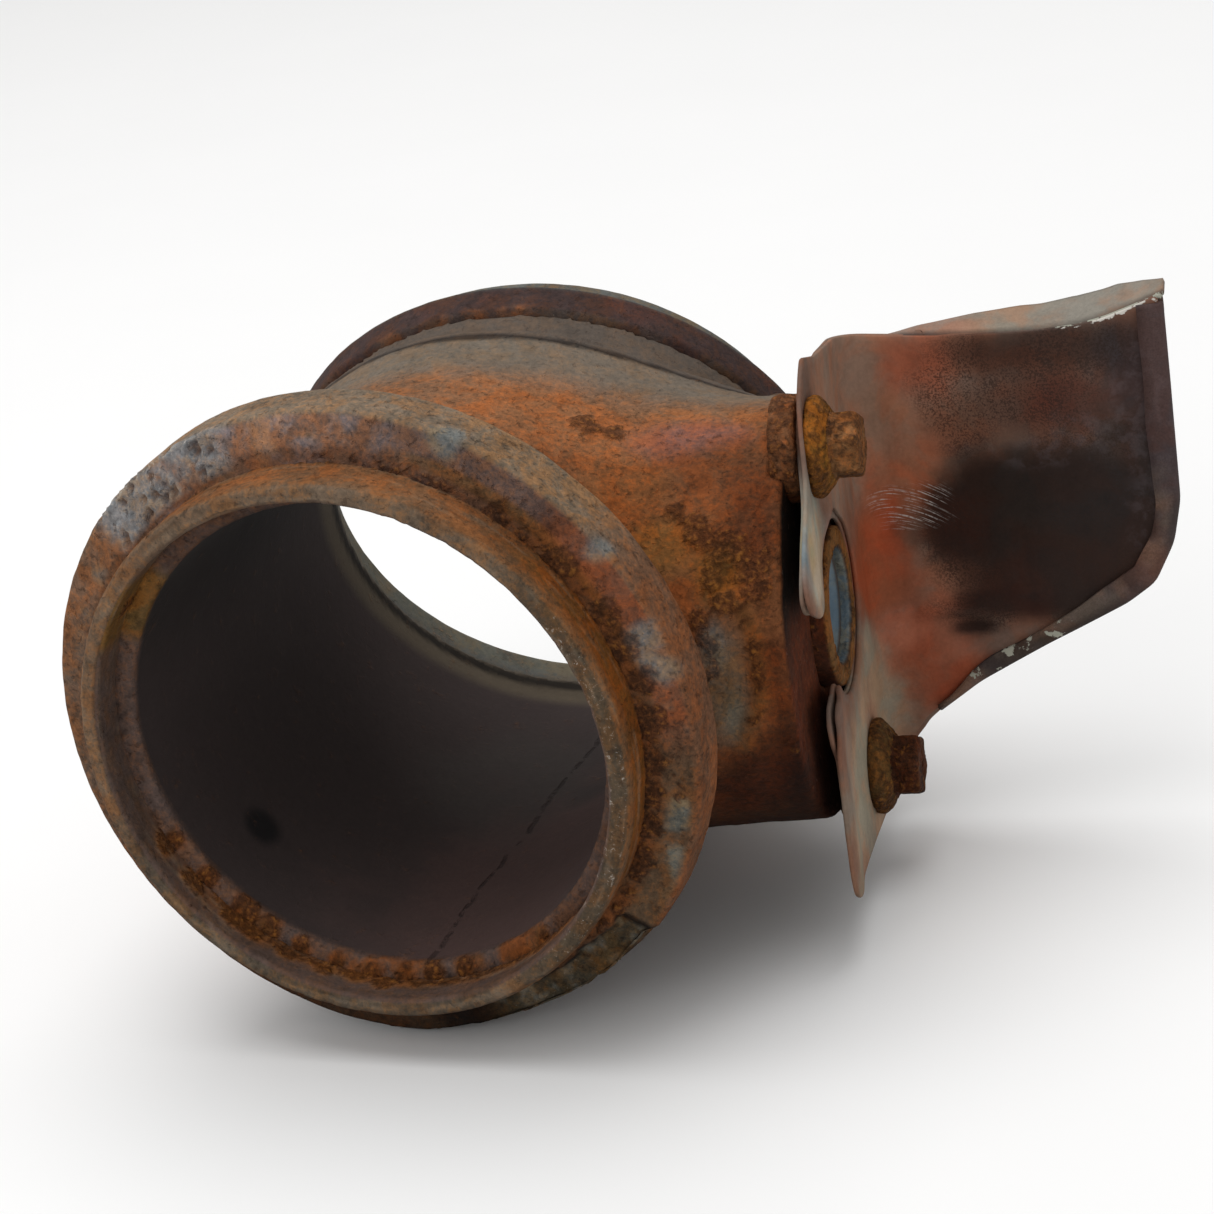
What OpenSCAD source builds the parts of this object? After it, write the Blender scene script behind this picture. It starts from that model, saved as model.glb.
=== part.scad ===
// Cast exhaust pipe coupling: two V flanges set at an angle, a round side branch
// with a central tube boss, and a folded two-skin heat shield on two bolted pads.
// Millimetres. The origin is the centre of the bush's outer end, +X runs along the
// branch towards the shield and +Z is up. Inside the modules, x counts from the pipe.

/* [Pipe] */
// Radius of the main bore
bore_r = 55; // [50:0.5:58]
// Outer radius of the cast pipe
pipe_r = 60; // [56:0.5:64]
// Turn of the front end about Z, degrees
front_yaw = 8; // [0:1:15]
// Rise of the rear end about X, degrees
rear_pitch = 18; // [0:1:25]
// Distance from the bend point to the front edge
front_len = 133.7; // [120:0.1:150]
// Distance from the bend point to the rear edge
rear_len = 11.2; // [9:0.1:16]
// Radius of the machined shoulder behind the rear flange
shoulder_r = 68; // [66:0.5:72]
// Length of the machined shoulder
shoulder_len = 12.9; // [8:0.1:16]

/* [Flanges] */
// Rim radius of the front flange
front_rim_r = 75; // [70:0.5:80]
// Rim width of the front flange
front_rim_w = 12; // [6:0.5:14]
// Rim radius of the rear flange
rear_rim_r = 69.5; // [66:0.5:76]
// Rim width of the rear flange
rear_rim_w = 9.5; // [6:0.5:12]
// Outer radius of the sleeves' lips
sleeve_r = 63.6; // [62:0.1:66]
// Radius of the sleeves inside the flange rings
seat_r = 62; // [61.5:0.1:63]
// Mouth radius of the front sleeve
front_mouth_r = 59.1; // [56:0.1:61]
// Mouth radius of the rear sleeve
rear_mouth_r = 60.3; // [56:0.1:62]

/* [Branch] */
// Outer radius of the branch
branch_r = 48.8; // [45:0.1:52]
// Radius of the chamber in the branch
chamber_r = 41; // [36:0.5:43]
// Distance of the branch end face from the pipe
branch_end = 67.4; // [65:0.1:72]
// Thickness of the branch end wall
end_wall = 7.5; // [5:0.5:12]

/* [Boss] */
// Outer radius of the boss tube
boss_r = 18.2; // [16:0.1:20]
// Inner radius of the boss tube
boss_seat_r = 14; // [13:0.1:15]
// Bore radius of the bush
bush_r = 12.4; // [11:0.1:13]
// Distance of the boss end face from the pipe
boss_end = 70.4; // [69:0.1:75]
// Length of the boss tube
boss_len = 20; // [10:1:25]
// Depth of the bush below the boss end face
bush_recess = 2; // [0:0.1:4]

/* [Bolts] */
// Pad centre above the branch axis
pad_up = [-12, 43]; // [-50:0.5:50]
// Pad centre below the branch axis
pad_down = [11.5, -46.5]; // [-50:0.5:50]
// Radius of the pads
pad_r = 11.7; // [10:0.1:13]
// Distance of the pad back face from the pipe
pad_back = 63.5; // [60:0.5:66]
// Shank radius of the bolts
shank_r = 4; // [3:0.5:5]
// Size across the flats of the bolt heads
head_af = 13; // [10:1:17]
// Radius of the collar washers
collar_r = 11.2; // [9:0.1:13]
// Thickness of the collar washers
collar_t = 4.6; // [2:0.1:6]
// Height of the bolt heads
head_h = 6.4; // [5:0.1:8]

/* [Shield] */
// Outer face of the shield plate
plate_x = 71; // [70:0.1:74]
// Thickness of one skin
skin_t = 1; // [0.8:0.1:1.5]
// Near face of the shield wall
wall_y = 38; // [34:0.5:44]
// Inner radius of the bend between plate and wall
bend_r = 8; // [5:0.5:12]
// Slot radius in the front skin
front_slot_r = 25; // [21:0.5:28]
// Slot radius in the back skin
back_slot_r = 19.6; // [19:0.1:24]

/* [Hidden] */
$fn = 96;
bend_at = [-7.3, 59, 2.5];
mitre = bore_r * tan(10);
front_rim_at = 107.7;
front_face_at = 122.4;
front_seat_at = 112;
front_step_at = 124.4;
rear_rim_at = -8.1;
rear_face_at = 4.2;
rear_seat_at = -1.2;
rear_step_at = -1;
lip_chamfer = 0.9;
hole_r = shank_r + 0.4;
rear_spigot_r = 61;
pad_face = plate_x - 2 * skin_t;
pads = [pad_up, pad_down];
collar_end = plate_x + collar_t;
bend_y = wall_y - bend_r;
bend_x = plate_x + bend_r;
shield_low = -70;
shield_high = 132;
plate_outline = [
    [30.1, 52.8], [14.4, 55.9], [5.3, 57.6], [-8, 62.4], [-16.5, 55.7], [-23.8, 47.1],
    [-30, 38.1], [-40.7, 28.8], [-44, 23.3], [-43.4, 18.6], [-39.5, 14.2], [-34.2, 12.4],
    [0, 12.4], [0, -11], [-27, -11], [-31.7, -13.1], [-33.6, -29.2], [-35, -43.3],
    [-35.2, -50.7], [-33.8, -56], [-30.7, -58.3], [-9.9, -59.6], [17.6, -62.1], [30.1, -62.3]
];
wall_outline = [
    [69, 52.8], [78, 49.7], [107.6, 48], [124.7, 48.3], [137.4, 52.5], [145, 56],
    [144.5, 34], [144.4, 5], [142, -5], [137, -14.8], [130.6, -19.5], [111.8, -28.6],
    [93.7, -38], [80.3, -48], [76.3, -54], [69, -62.3]
];
wall_inset = [
    [69, 52.8], [78, 49.7], [107.6, 48], [124.7, 48.3], [137.4, 52.5], [143.9, 55.5],
    [143.4, 34], [143.3, 5.4], [141, -4.5], [136.2, -13.8], [130.1, -18.4], [111.3, -27.5],
    [93.1, -37], [79.5, -47.1], [75.3, -53.4], [69, -61.1]
];
hem_inset = [
    [69, 60], [78, 60], [107.6, 60], [124.7, 60], [137.4, 60], [138, 60],
    [138, 34], [138, 6.5], [136, -2], [132, -9], [127.4, -12.9], [108.7, -22],
    [96, -33], [90, -44], [84, -50], [69, -67]
];
lip_outline = [[84, 0], [104, 7], [125, 11], [145, 5], [145, 0]];

// Moves children from the pipe's origin to the part's own, at the bush's outer end.
module placed() {
    translate([bush_recess - boss_end, 0, 0]) children();
}

// Places children on the front axis, +Z towards the mouth.
module front_axis() {
    translate(bend_at) rotate([90, 0, -front_yaw]) children();
}

// Places children on the rear axis, +Z towards the mouth.
module rear_axis() {
    translate(bend_at) rotate([rear_pitch - 90, 0, 0]) children();
}

// Places children on the branch axis at distance x, +Z towards the shield.
module branch_axis(x) {
    translate([x, 0, 0]) rotate([90, 0, 90]) children();
}

// Repeats children at both pads, at distance x along the branch.
module at_pads(x) {
    for (p = pads) {
        branch_axis(x) translate([p[0], p[1], 0]) children();
    }
}

// A turned ring from a list of [radius, height] points.
module turned(points) {
    rotate_extrude() polygon(points);
}

module main_bore(r) {
    front_axis() translate([0, 0, -mitre]) cylinder(r = r, h = front_len + mitre + 5);
    rear_axis() translate([0, 0, -mitre]) cylinder(r = r, h = rear_len + mitre + 5);
}

module body_casting() {
    color([0.55, 0.28, 0.14])
    difference() {
        union() {
            difference() {
                front_axis() translate([0, 0, -25]) cylinder(r = pipe_r, h = front_seat_at + 25);
                rear_axis() translate([0, 0, rear_rim_at - shoulder_len]) cylinder(r = 120, h = 120);
            }
            branch_axis(0) cylinder(r = branch_r, h = branch_end);
            rear_axis() translate([0, 0, rear_rim_at - shoulder_len])
                cylinder(r = shoulder_r, h = shoulder_len);
            rear_axis() translate([0, 0, rear_rim_at - 0.5])
                cylinder(r = rear_spigot_r, h = rear_seat_at - rear_rim_at + 0.5);
        }
        main_bore(bore_r);
        branch_axis(0) cylinder(r = chamber_r, h = branch_end - end_wall);
        branch_axis(0) cylinder(r = boss_r, h = branch_end + 5);
        at_pads(pad_back) cylinder(r = pad_r, h = 10);
    }
}

module front_flange_ring() {
    color([0.45, 0.3, 0.28])
    front_axis() turned([
        [pipe_r, front_rim_at - 5], [pipe_r + 4, front_rim_at - 5], [front_rim_r, front_rim_at],
        [front_rim_r, front_rim_at + front_rim_w], [sleeve_r, front_face_at],
        [seat_r, front_face_at], [seat_r, front_seat_at], [pipe_r, front_seat_at]
    ]);
}

module front_sleeve() {
    color([0.6, 0.38, 0.22])
    front_axis() turned([
        [bore_r, front_seat_at], [seat_r, front_seat_at], [seat_r, front_face_at],
        [sleeve_r, front_face_at],
        [sleeve_r, front_len - lip_chamfer], [sleeve_r - lip_chamfer, front_len],
        [front_mouth_r, front_len], [front_mouth_r, front_step_at + 1.2],
        [bore_r, front_step_at]
    ]);
}

module rear_flange_ring() {
    color([0.38, 0.24, 0.2])
    rear_axis() turned([
        [rear_spigot_r, rear_rim_at], [rear_rim_r, rear_rim_at],
        [rear_rim_r, rear_rim_at + rear_rim_w], [sleeve_r, rear_face_at],
        [seat_r, rear_face_at], [seat_r, rear_seat_at], [rear_spigot_r, rear_seat_at]
    ]);
}

module rear_sleeve() {
    color([0.5, 0.5, 0.44])
    rear_axis() turned([
        [bore_r, rear_seat_at], [seat_r, rear_seat_at], [seat_r, rear_face_at],
        [sleeve_r, rear_face_at],
        [sleeve_r, rear_len - lip_chamfer], [sleeve_r - lip_chamfer, rear_len],
        [rear_mouth_r, rear_len], [rear_mouth_r, rear_step_at + 1.6], [bore_r, rear_step_at]
    ]);
}

module centre_boss() {
    color([0.5, 0.32, 0.14])
    branch_axis(boss_end - boss_len) difference() {
        cylinder(r = boss_r, h = boss_len);
        translate([0, 0, -1]) cylinder(r = boss_seat_r, h = boss_len + 2);
    }
}

module boss_bush() {
    color([0.4, 0.5, 0.58])
    branch_axis(boss_end - boss_len) difference() {
        cylinder(r = boss_seat_r, h = boss_len - bush_recess);
        translate([0, 0, -1]) cylinder(r = bush_r, h = boss_len + 2);
    }
}

module pad_nuts() {
    color([0.45, 0.26, 0.1])
    at_pads(pad_back) difference() {
        cylinder(r = pad_r, h = pad_face - pad_back);
        translate([0, 0, -1]) cylinder(r = shank_r, h = 12);
    }
}

module collar_washers() {
    color([0.5, 0.36, 0.14])
    at_pads(plate_x) turned([
        [hole_r, 0], [collar_r, 0], [collar_r, collar_t - 1.8], [8.2, collar_t], [hole_r, collar_t]
    ]);
}

module hex_bolts() {
    color([0.48, 0.34, 0.15])
    at_pads(pad_back) {
        cylinder(r = shank_r, h = collar_end - pad_back + 0.5);
        translate([0, 0, collar_end - pad_back]) intersection() {
            cylinder(r = head_af / sqrt(3), h = head_h, $fn = 6);
            turned([[0, 0], [9, 0], [9, head_h - 1.2], [6.6, head_h], [0, head_h]]);
        }
    }
}

// A sheet bent from plate to wall: offset counts from the seen face.
module bent_sheet(offset, t) {
    translate([0, 0, shield_low]) linear_extrude(height = shield_high) {
        translate([plate_x - offset - t, -50]) square([t, 50 + bend_y]);
        translate([bend_x, wall_y + offset]) square([70, t]);
        translate([bend_x, bend_y]) intersection() {
            difference() {
                circle(r = bend_r + offset + t);
                circle(r = bend_r + offset);
            }
            translate([-30, 0]) square([30, 30]);
        }
    }
}

module plate_prism() {
    translate([60, 0, 0]) rotate([90, 0, 90]) linear_extrude(height = 20)
        polygon(plate_outline);
}

module wall_prism(outline, y0, y1) {
    translate([0, y1, 0]) rotate([90, 0, 0]) linear_extrude(height = y1 - y0)
        polygon(outline);
}

module slot_and_holes(r) {
    branch_axis(60) cylinder(r = r, h = 30);
    at_pads(60) cylinder(r = hole_r, h = 30);
}

module shield_front_skin() {
    color([0.6, 0.36, 0.3])
    difference() {
        union() {
            intersection() {
                bent_sheet(0, skin_t);
                plate_prism();
            }
            intersection() {
                bent_sheet(0, skin_t);
                wall_prism(wall_inset, bend_y, wall_y + 5);
            }
        }
        slot_and_holes(front_slot_r);
    }
}

module shield_back_skin() {
    color([0.4, 0.36, 0.33])
    union() {
        difference() {
            union() {
                intersection() {
                    bent_sheet(skin_t, skin_t);
                    plate_prism();
                }
                intersection() {
                    bent_sheet(skin_t, skin_t);
                    wall_prism(wall_outline, bend_y, wall_y + 5);
                }
            }
            slot_and_holes(back_slot_r);
        }
        difference() {
            intersection() {
                wall_prism(wall_outline, wall_y - skin_t, wall_y + skin_t + 0.1);
                translate([92, 0, -70]) cube([60, 60, 140]);
            }
            wall_prism(hem_inset, wall_y - 5, wall_y + 0.05);
            wall_prism(wall_inset, wall_y, wall_y + skin_t);
        }
        translate([0, wall_y + skin_t, 47]) rotate([20, 0, 0]) linear_extrude(height = skin_t)
            polygon(lip_outline);
    }
}

placed() body_casting();
placed() front_flange_ring();
placed() front_sleeve();
placed() rear_flange_ring();
placed() rear_sleeve();
placed() centre_boss();
placed() boss_bush();
placed() pad_nuts();
placed() collar_washers();
placed() hex_bolts();
placed() shield_front_skin();
placed() shield_back_skin();
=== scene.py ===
import itertools
import math
from functools import partialmethod

import bpy
import numpy as np
from mathutils import Matrix, Vector
from mathutils.geometry import delaunay_2d_cdt


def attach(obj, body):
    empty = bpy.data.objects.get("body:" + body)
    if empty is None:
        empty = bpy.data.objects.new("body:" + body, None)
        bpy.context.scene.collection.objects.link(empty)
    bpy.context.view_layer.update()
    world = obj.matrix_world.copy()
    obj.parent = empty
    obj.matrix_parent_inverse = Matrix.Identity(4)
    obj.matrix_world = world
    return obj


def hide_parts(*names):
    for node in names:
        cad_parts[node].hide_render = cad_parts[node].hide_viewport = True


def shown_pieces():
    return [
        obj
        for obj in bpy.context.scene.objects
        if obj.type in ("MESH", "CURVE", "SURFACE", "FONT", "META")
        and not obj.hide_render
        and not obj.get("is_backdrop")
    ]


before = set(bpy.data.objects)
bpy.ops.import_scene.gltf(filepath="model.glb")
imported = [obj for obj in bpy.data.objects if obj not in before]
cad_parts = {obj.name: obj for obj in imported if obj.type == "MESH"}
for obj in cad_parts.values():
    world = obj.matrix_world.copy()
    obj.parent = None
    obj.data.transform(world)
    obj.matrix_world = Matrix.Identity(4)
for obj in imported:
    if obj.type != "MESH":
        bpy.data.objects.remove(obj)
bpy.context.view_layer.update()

ORIGIN_X = 68.4
YAW, PITCH = math.radians(8), math.radians(18)
BEND = np.array([-7.3, 59.0, 2.5])
AXIS_F = np.array([-math.sin(YAW), -math.cos(YAW), 0.0])
AXIS_R = np.array([0.0, math.cos(PITCH), math.sin(PITCH)])
FRONT = (BEND, np.array([math.cos(YAW), -math.sin(YAW), 0.0]), np.array([0.0, 0.0, 1.0]), AXIS_F)
REAR = (BEND, np.array([1.0, 0.0, 0.0]), np.array([0.0, -math.sin(PITCH), math.cos(PITCH)]), AXIS_R)
BRANCH = (np.zeros(3), np.array([0.0, 1.0, 0.0]), np.array([0.0, 0.0, 1.0]), np.array([1.0, 0.0, 0.0]))
PADS = ((-12.0, 43.0), (11.5, -46.5))

INSIDE = (0.050, 0.034, 0.030)
# near black painted shade for the top of the branch's end face, in the gap behind the shield
GAP_SHADE = (0.012, 0.007, 0.005)


# ---------------------------------------------------------------- scattered values

def hashed(i, j, k, seed):
    """A repeatable random value, 0 to 1, for each whole-number cell."""
    h = (i * 73856093) ^ (j * 19349663) ^ (k * 83492791) ^ (seed * 40503 + 977)
    h = ((h ^ (h >> 13)) * 1274126177) & 0x7FFFFFFF
    h = ((h ^ (h >> 15)) * 668265263) & 0x7FFFFFFF
    return ((h ^ (h >> 16)) % 65536) / 65535.0


def noise(p, size, seed=0):
    """Smooth noise, -1 to 1, with lumps about size across."""
    q = p / size
    i = np.floor(q).astype(np.int64)
    f = q - i
    f = f * f * (3 - 2 * f)
    total = np.zeros(len(p))
    for a, b, c in itertools.product((0, 1), repeat=3):
        w = np.prod(np.where((a, b, c), f, 1 - f), axis=1)
        total += w * hashed(i[:, 0] + a, i[:, 1] + b, i[:, 2] + c, seed)
    return total * 2 - 1


def fbm(p, size, octaves=4, seed=0):
    """Noise at several sizes, each half the last."""
    total, weight, norm = np.zeros(len(p)), 1.0, 0.0
    for o in range(octaves):
        total += weight * noise(p, size / 2**o, seed + 17 * o)
        norm += weight
        weight *= 0.55
    return total / norm


def cells(p, size, seed=0):
    """Distance to the nearest of scattered points, in cell sizes, and that point's random value."""
    q = p / size
    base = np.floor(q).astype(np.int64)
    best = np.full(len(p), 9.0)
    value = np.zeros(len(p))
    for step in itertools.product((-1, 0, 1), repeat=3):
        i, j, k = (base + np.array(step)).T
        point = np.stack([c + hashed(i, j, k, seed + s) for s, c in enumerate((i, j, k))], 1)
        d = np.linalg.norm(q - point, axis=1)
        near = d < best
        best = np.where(near, d, best)
        value = np.where(near, hashed(i, j, k, seed + 3), value)
    return best, value


def smooth(x, low, high):
    """0 below low, 1 above high, smooth between. low may be the larger."""
    t = np.clip((x - low) / (high - low), 0, 1)
    return t * t * (3 - 2 * t)


def lumps(p, size, where, seed):
    """Rust crust, 0 to 1: rounded nodules about size across that grow where the mask is high."""
    warp = np.stack([noise(p, size * 0.6, seed + s) for s in (11, 12, 13)], 1) * size * 0.35
    d, value = cells(p + warp, size, seed)
    reach = 0.75 * np.clip(where * 1.5 - value * 0.6, 0, 1)
    return np.sqrt(np.clip(1 - (d / np.maximum(reach, 0.02)) ** 2, 0, 1)) * np.clip(reach * 2.2, 0, 1)


def crusted(p, where, coarse, fine, share=0.8):
    """Crust of coarse and fine nodules, each given as (size, seed), where the mask is high."""
    big, little = (lumps(p, size, where, seed) for size, seed in (coarse, fine))
    return np.maximum(big, share * little)


def around(turn, centre, half, soft):
    """1 where a turn in degrees is within half of centre, fading over soft."""
    off = np.abs((turn - centre + 180) % 360 - 180)
    return smooth(off, half + soft, half)


def patches(p, spots, seed=0, rough=0.35):
    """How much each point lies in soft round spots of (centre, radius), their edges ragged."""
    warp = np.stack([fbm(p, 12, 3, seed + s) for s in (1, 5, 9)], 1)
    total = np.zeros(len(p))
    for centre, radius in spots:
        d = np.linalg.norm((p - centre) / radius + warp * rough, axis=1)
        total = np.maximum(total, smooth(d, 1.25, 0.55))
    return total


# ---------------------------------------------------------------- meshes

def axis_parts(p, axis):
    """Distance along an axis, distance from it, and the turn round it in degrees."""
    origin, u, v, n = axis
    q = p - origin
    a, b = q @ u, q @ v
    return q @ n, np.hypot(a, b), np.degrees(np.arctan2(b, a))


def normals(p, faces):
    """Smooth unit normals at the points of a mesh of triangles or quads."""
    total = np.zeros_like(p)
    for group in faces:
        if group.shape[1] == 4:
            n = np.cross(p[group[:, 2]] - p[group[:, 0]], p[group[:, 3]] - p[group[:, 1]])
        else:
            n = np.cross(p[group[:, 1]] - p[group[:, 0]], p[group[:, 2]] - p[group[:, 0]])
        for k in range(group.shape[1]):
            for c in range(3):
                total[:, c] += np.bincount(group[:, k], n[:, c], len(p))
    return total / np.maximum(np.linalg.norm(total, axis=1, keepdims=True), 1e-9)


def outward(p, faces):
    """The faces, turned round if they face into the solid."""
    volume = 0.0
    for group in faces:
        a, b, c = p[group[:, 0]], p[group[:, 1]], p[group[:, 2]]
        volume += np.einsum("ij,ij->", a, np.cross(b, c))
        if group.shape[1] == 4:
            volume += np.einsum("ij,ij->", a, np.cross(c, p[group[:, 3]]))
    return faces if volume > 0 else [group[:, ::-1].copy() for group in faces]


def rounded(corners, radii, step):
    """Points at most step apart round a closed outline whose corners are rounded."""
    corners = np.array(corners, float)
    radii = np.broadcast_to(radii, len(corners))
    path = []
    for i, b in enumerate(corners):
        a, c = corners[i - 1], corners[(i + 1) % len(corners)]
        la, lc = np.linalg.norm(a - b), np.linalg.norm(c - b)
        start, end = b + (a - b) * min(radii[i] / la, 0.45), b + (c - b) * min(radii[i] / lc, 0.45)
        for t in (0.0, 0.33, 0.67, 1.0):
            path.append((1 - t) ** 2 * start + 2 * t * (1 - t) * b + t * t * end)
    out = []
    for a, b in zip(path, path[1:] + path[:1]):
        count = max(1, math.ceil(np.linalg.norm(b - a) / step))
        out += [a + (b - a) * k / count for k in range(count)]
    return np.array(out)


def lathe(corners, radii, step, turns, axis, offset=(0.0, 0.0), shape=None):
    """A turned ring: points and quads. shape(turn, r, s) may change the radius."""
    r, s = rounded(corners, radii, step).T
    turn = np.arange(turns) * 2 * math.pi / turns
    origin, u, v, n = axis
    rr = np.repeat(r[:, None], turns, 1)
    ss = np.repeat(s[:, None], turns, 1)
    tt = np.repeat(turn[None, :], len(r), 0)
    if shape is not None:
        rr = shape(tt, rr, ss)
    p = (origin + offset[0] * u + offset[1] * v) + (
        (rr * np.cos(tt))[..., None] * u + (rr * np.sin(tt))[..., None] * v + ss[..., None] * n
    )
    i = np.arange(len(r))[:, None] * turns
    j = (np.arange(len(r)) + 1)[:, None] % len(r) * turns
    k, m = np.arange(turns)[None, :], (np.arange(turns)[None, :] + 1) % turns
    quads = np.stack([i + k, i + m, j + m, j + k], -1).reshape(-1, 4)
    p = p.reshape(-1, 3)
    return p, outward(p, [quads])


def turned(corners, radii, step, turns, axis):
    """A turned ring's points, faces and normals, and where its points are along and round the axis."""
    p, faces = lathe(corners, radii, step, turns, axis)
    return p, faces, normals(p, faces), *axis_parts(p, axis)


def surface_net(field, origin, pitch):
    """Points and quads of the surface where a sampled field crosses zero."""
    inside = field < 0
    size = field.shape
    corners = [
        inside[a : size[0] - 1 + a, b : size[1] - 1 + b, c : size[2] - 1 + c]
        for a, b, c in itertools.product((0, 1), repeat=3)
    ]
    count = np.sum(corners, axis=0)
    mixed = (count > 0) & (count < 8)
    index = np.full(mixed.shape, -1)
    index[mixed] = np.arange(mixed.sum())
    cell = np.argwhere(mixed)
    total, hits = np.zeros((len(cell), 3)), np.zeros(len(cell))
    for axis in range(3):
        others = [a for a in range(3) if a != axis]
        for b, c in itertools.product((0, 1), repeat=2):
            start = cell.copy()
            start[:, others[0]] += b
            start[:, others[1]] += c
            end = start.copy()
            end[:, axis] += 1
            v0, v1 = field[tuple(start.T)], field[tuple(end.T)]
            cross = (v0 < 0) != (v1 < 0)
            point = start.astype(float)
            point[:, axis] += v0 / np.where(cross, v0 - v1, 1)
            total[cross] += point[cross]
            hits += cross
    p = origin + pitch * total / hits[:, None]
    quads = []
    for axis in range(3):
        others = [a for a in range(3) if a != axis]
        low = [slice(1, size[a] - 1) for a in range(3)]
        high = list(low)
        low[axis], high[axis] = slice(0, size[axis] - 1), slice(1, size[axis])
        a, b = inside[tuple(low)], inside[tuple(high)]
        for rises in (True, False):
            at = np.argwhere((a & ~b) if rises else (~a & b))
            at[:, others[0]] += 1
            at[:, others[1]] += 1
            ring = []
            for db, dc in ((0, 0), (-1, 0), (-1, -1), (0, -1)):
                c = at.copy()
                c[:, others[0]] += db
                c[:, others[1]] += dc
                ring.append(index[tuple(c.T)])
            quad = np.stack(ring, 1)
            quads.append(quad if rises == (axis != 1) else quad[:, ::-1])
    return p, outward(p, [np.concatenate(quads)])


def inside_of(points, loop):
    """True for each 2-D point inside a closed loop."""
    x, y = points[:, 0][:, None], points[:, 1][:, None]
    a, b = loop, np.roll(loop, -1, 0)
    crosses = (a[:, 1] > y) != (b[:, 1] > y)
    at = a[:, 0] + (y - a[:, 1]) * (b[:, 0] - a[:, 0]) / np.where(b[:, 1] == a[:, 1], 1e-9, b[:, 1] - a[:, 1])
    return (crosses & (x < at)).sum(1) % 2 == 1


def border_distance(points, loops):
    """Distance of each 2-D point from the nearest of the loops' edges."""
    best = np.full(len(points), 1e9)
    for loop in loops:
        a, b = loop, np.roll(loop, -1, 0)
        d = b - a
        t = np.einsum("nij,ij->ni", points[:, None] - a, d) / np.maximum((d * d).sum(1), 1e-9)
        near = a + np.clip(t, 0, 1)[..., None] * d
        best = np.minimum(best, np.linalg.norm(points[:, None] - near, axis=2).min(1))
    return best


def fill(loops, step, seed):
    """Even triangles inside the first loop and outside the rest."""
    low, high = loops[0].min(0), loops[0].max(0)
    xs = np.arange(low[0], high[0], step)
    ys = np.arange(low[1], high[1], step * 0.87)
    grid = np.array([(x + (k % 2) * step / 2, y) for k, y in enumerate(ys) for x in xs])
    random = np.random.default_rng(seed)
    grid += random.uniform(-0.12, 0.12, grid.shape) * step
    keep = inside_of(grid, loops[0]) & (border_distance(grid, loops) > 0.6 * step)
    for hole in loops[1:]:
        keep &= ~inside_of(grid, hole)
    points, edges = [], []
    for loop in loops:
        n, first = len(loop), len(points)
        points += loop.tolist()
        edges += [(first + k, first + (k + 1) % n) for k in range(n)]
    points += grid[keep].tolist()
    made = delaunay_2d_cdt([Vector(p) for p in points], edges, [], 0, 1e-5)
    p = np.array([tuple(v) for v in made[0]])
    tris = np.array([f for f in made[2] if len(f) == 3])
    middle = p[tris].mean(1)
    keep = inside_of(middle, loops[0])
    for hole in loops[1:]:
        keep &= ~inside_of(middle, hole)
    return p, tris[keep]


def thickened(flat, tris, thickness, place):
    """A closed sheet with rounded edges from flat triangles. place(flat, depth) puts points in space."""
    edges = np.concatenate([tris[:, [0, 1]], tris[:, [1, 2]], tris[:, [2, 0]]])
    known = {tuple(e) for e in edges.tolist()}
    rim = np.array([e for e in edges.tolist() if (e[1], e[0]) not in known])
    n = len(flat)
    push = np.zeros_like(flat)
    d = flat[rim[:, 1]] - flat[rim[:, 0]]
    side = np.stack([d[:, 1], -d[:, 0]], 1) / np.maximum(np.linalg.norm(d, axis=1, keepdims=True), 1e-9)
    third = {}
    for t in tris.tolist():
        for k in range(3):
            third[(t[k], t[(k + 1) % 3])] = t[(k + 2) % 3]
    inner = flat[[third[tuple(e)] for e in rim.tolist()]] - flat[rim[:, 0]]
    side *= np.where((side * inner).sum(1) > 0, -1, 1)[:, None]
    np.add.at(push, rim[:, 0], side)
    np.add.at(push, rim[:, 1], side)
    size = np.linalg.norm(push, axis=1, keepdims=True)
    push = np.where(size > 0, push / np.maximum(size, 1e-9), 0)
    names = np.unique(rim)
    remap = np.full(n, -1)
    remap[names] = np.arange(len(names))
    swell = 0.22 * thickness
    layers = [place(flat, np.zeros(n)), place(flat, np.full(n, thickness))]
    for depth in (0.3, 0.7):
        layers.append(place(flat[names] + push[names] * swell, np.full(len(names), depth * thickness)))
    p = np.concatenate(layers)
    a, b = rim[:, 0], rim[:, 1]
    m1, m2 = 2 * n + remap, 2 * n + len(names) + remap
    walls = np.concatenate([
        np.stack([b, a, m1[a], m1[b]], 1),
        np.stack([m1[b], m1[a], m2[a], m2[b]], 1),
        np.stack([m2[b], m2[a], a + n, b + n], 1),
    ])
    source = np.concatenate([np.arange(n), np.arange(n), names, names])
    on_edge = np.isin(source, names).astype(float)
    return p, outward(p, [np.concatenate([tris, tris[:, ::-1] + n]), walls]), source, on_edge


class Paint:
    """A colour for each point, built up in layers."""

    def __init__(self, p, base):
        self.p = p
        self.tone = np.zeros((len(p), 3)) + base

    def lay(self, mask, colour, strength=1.0):
        """Brings the colours towards one colour, or one for each point, where the mask is high."""
        share = np.clip(mask, 0, 1) * strength
        self.tone += share[:, None] * (np.array(colour) - self.tone)

    def strokes(self, strokes, seed):
        """Lays soft ragged strokes of (centre, radii, colour, strength)."""
        warp = np.stack([fbm(self.p, 16, 4, seed + s) for s in (2, 6, 10)], 1)
        for centre, radii, colour, strength in strokes:
            d = np.linalg.norm((self.p - centre) / radii + warp * 0.45, axis=1)
            self.lay(smooth(d, 1.3, 0.4), colour, strength)


def on_ring(axis, turn, r, s):
    """The point at a turn in degrees, a radius and a distance along an axis."""
    origin, u, v, n = axis
    a = math.radians(turn)
    return origin + s * n + r * (math.cos(a) * u + math.sin(a) * v)


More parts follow.
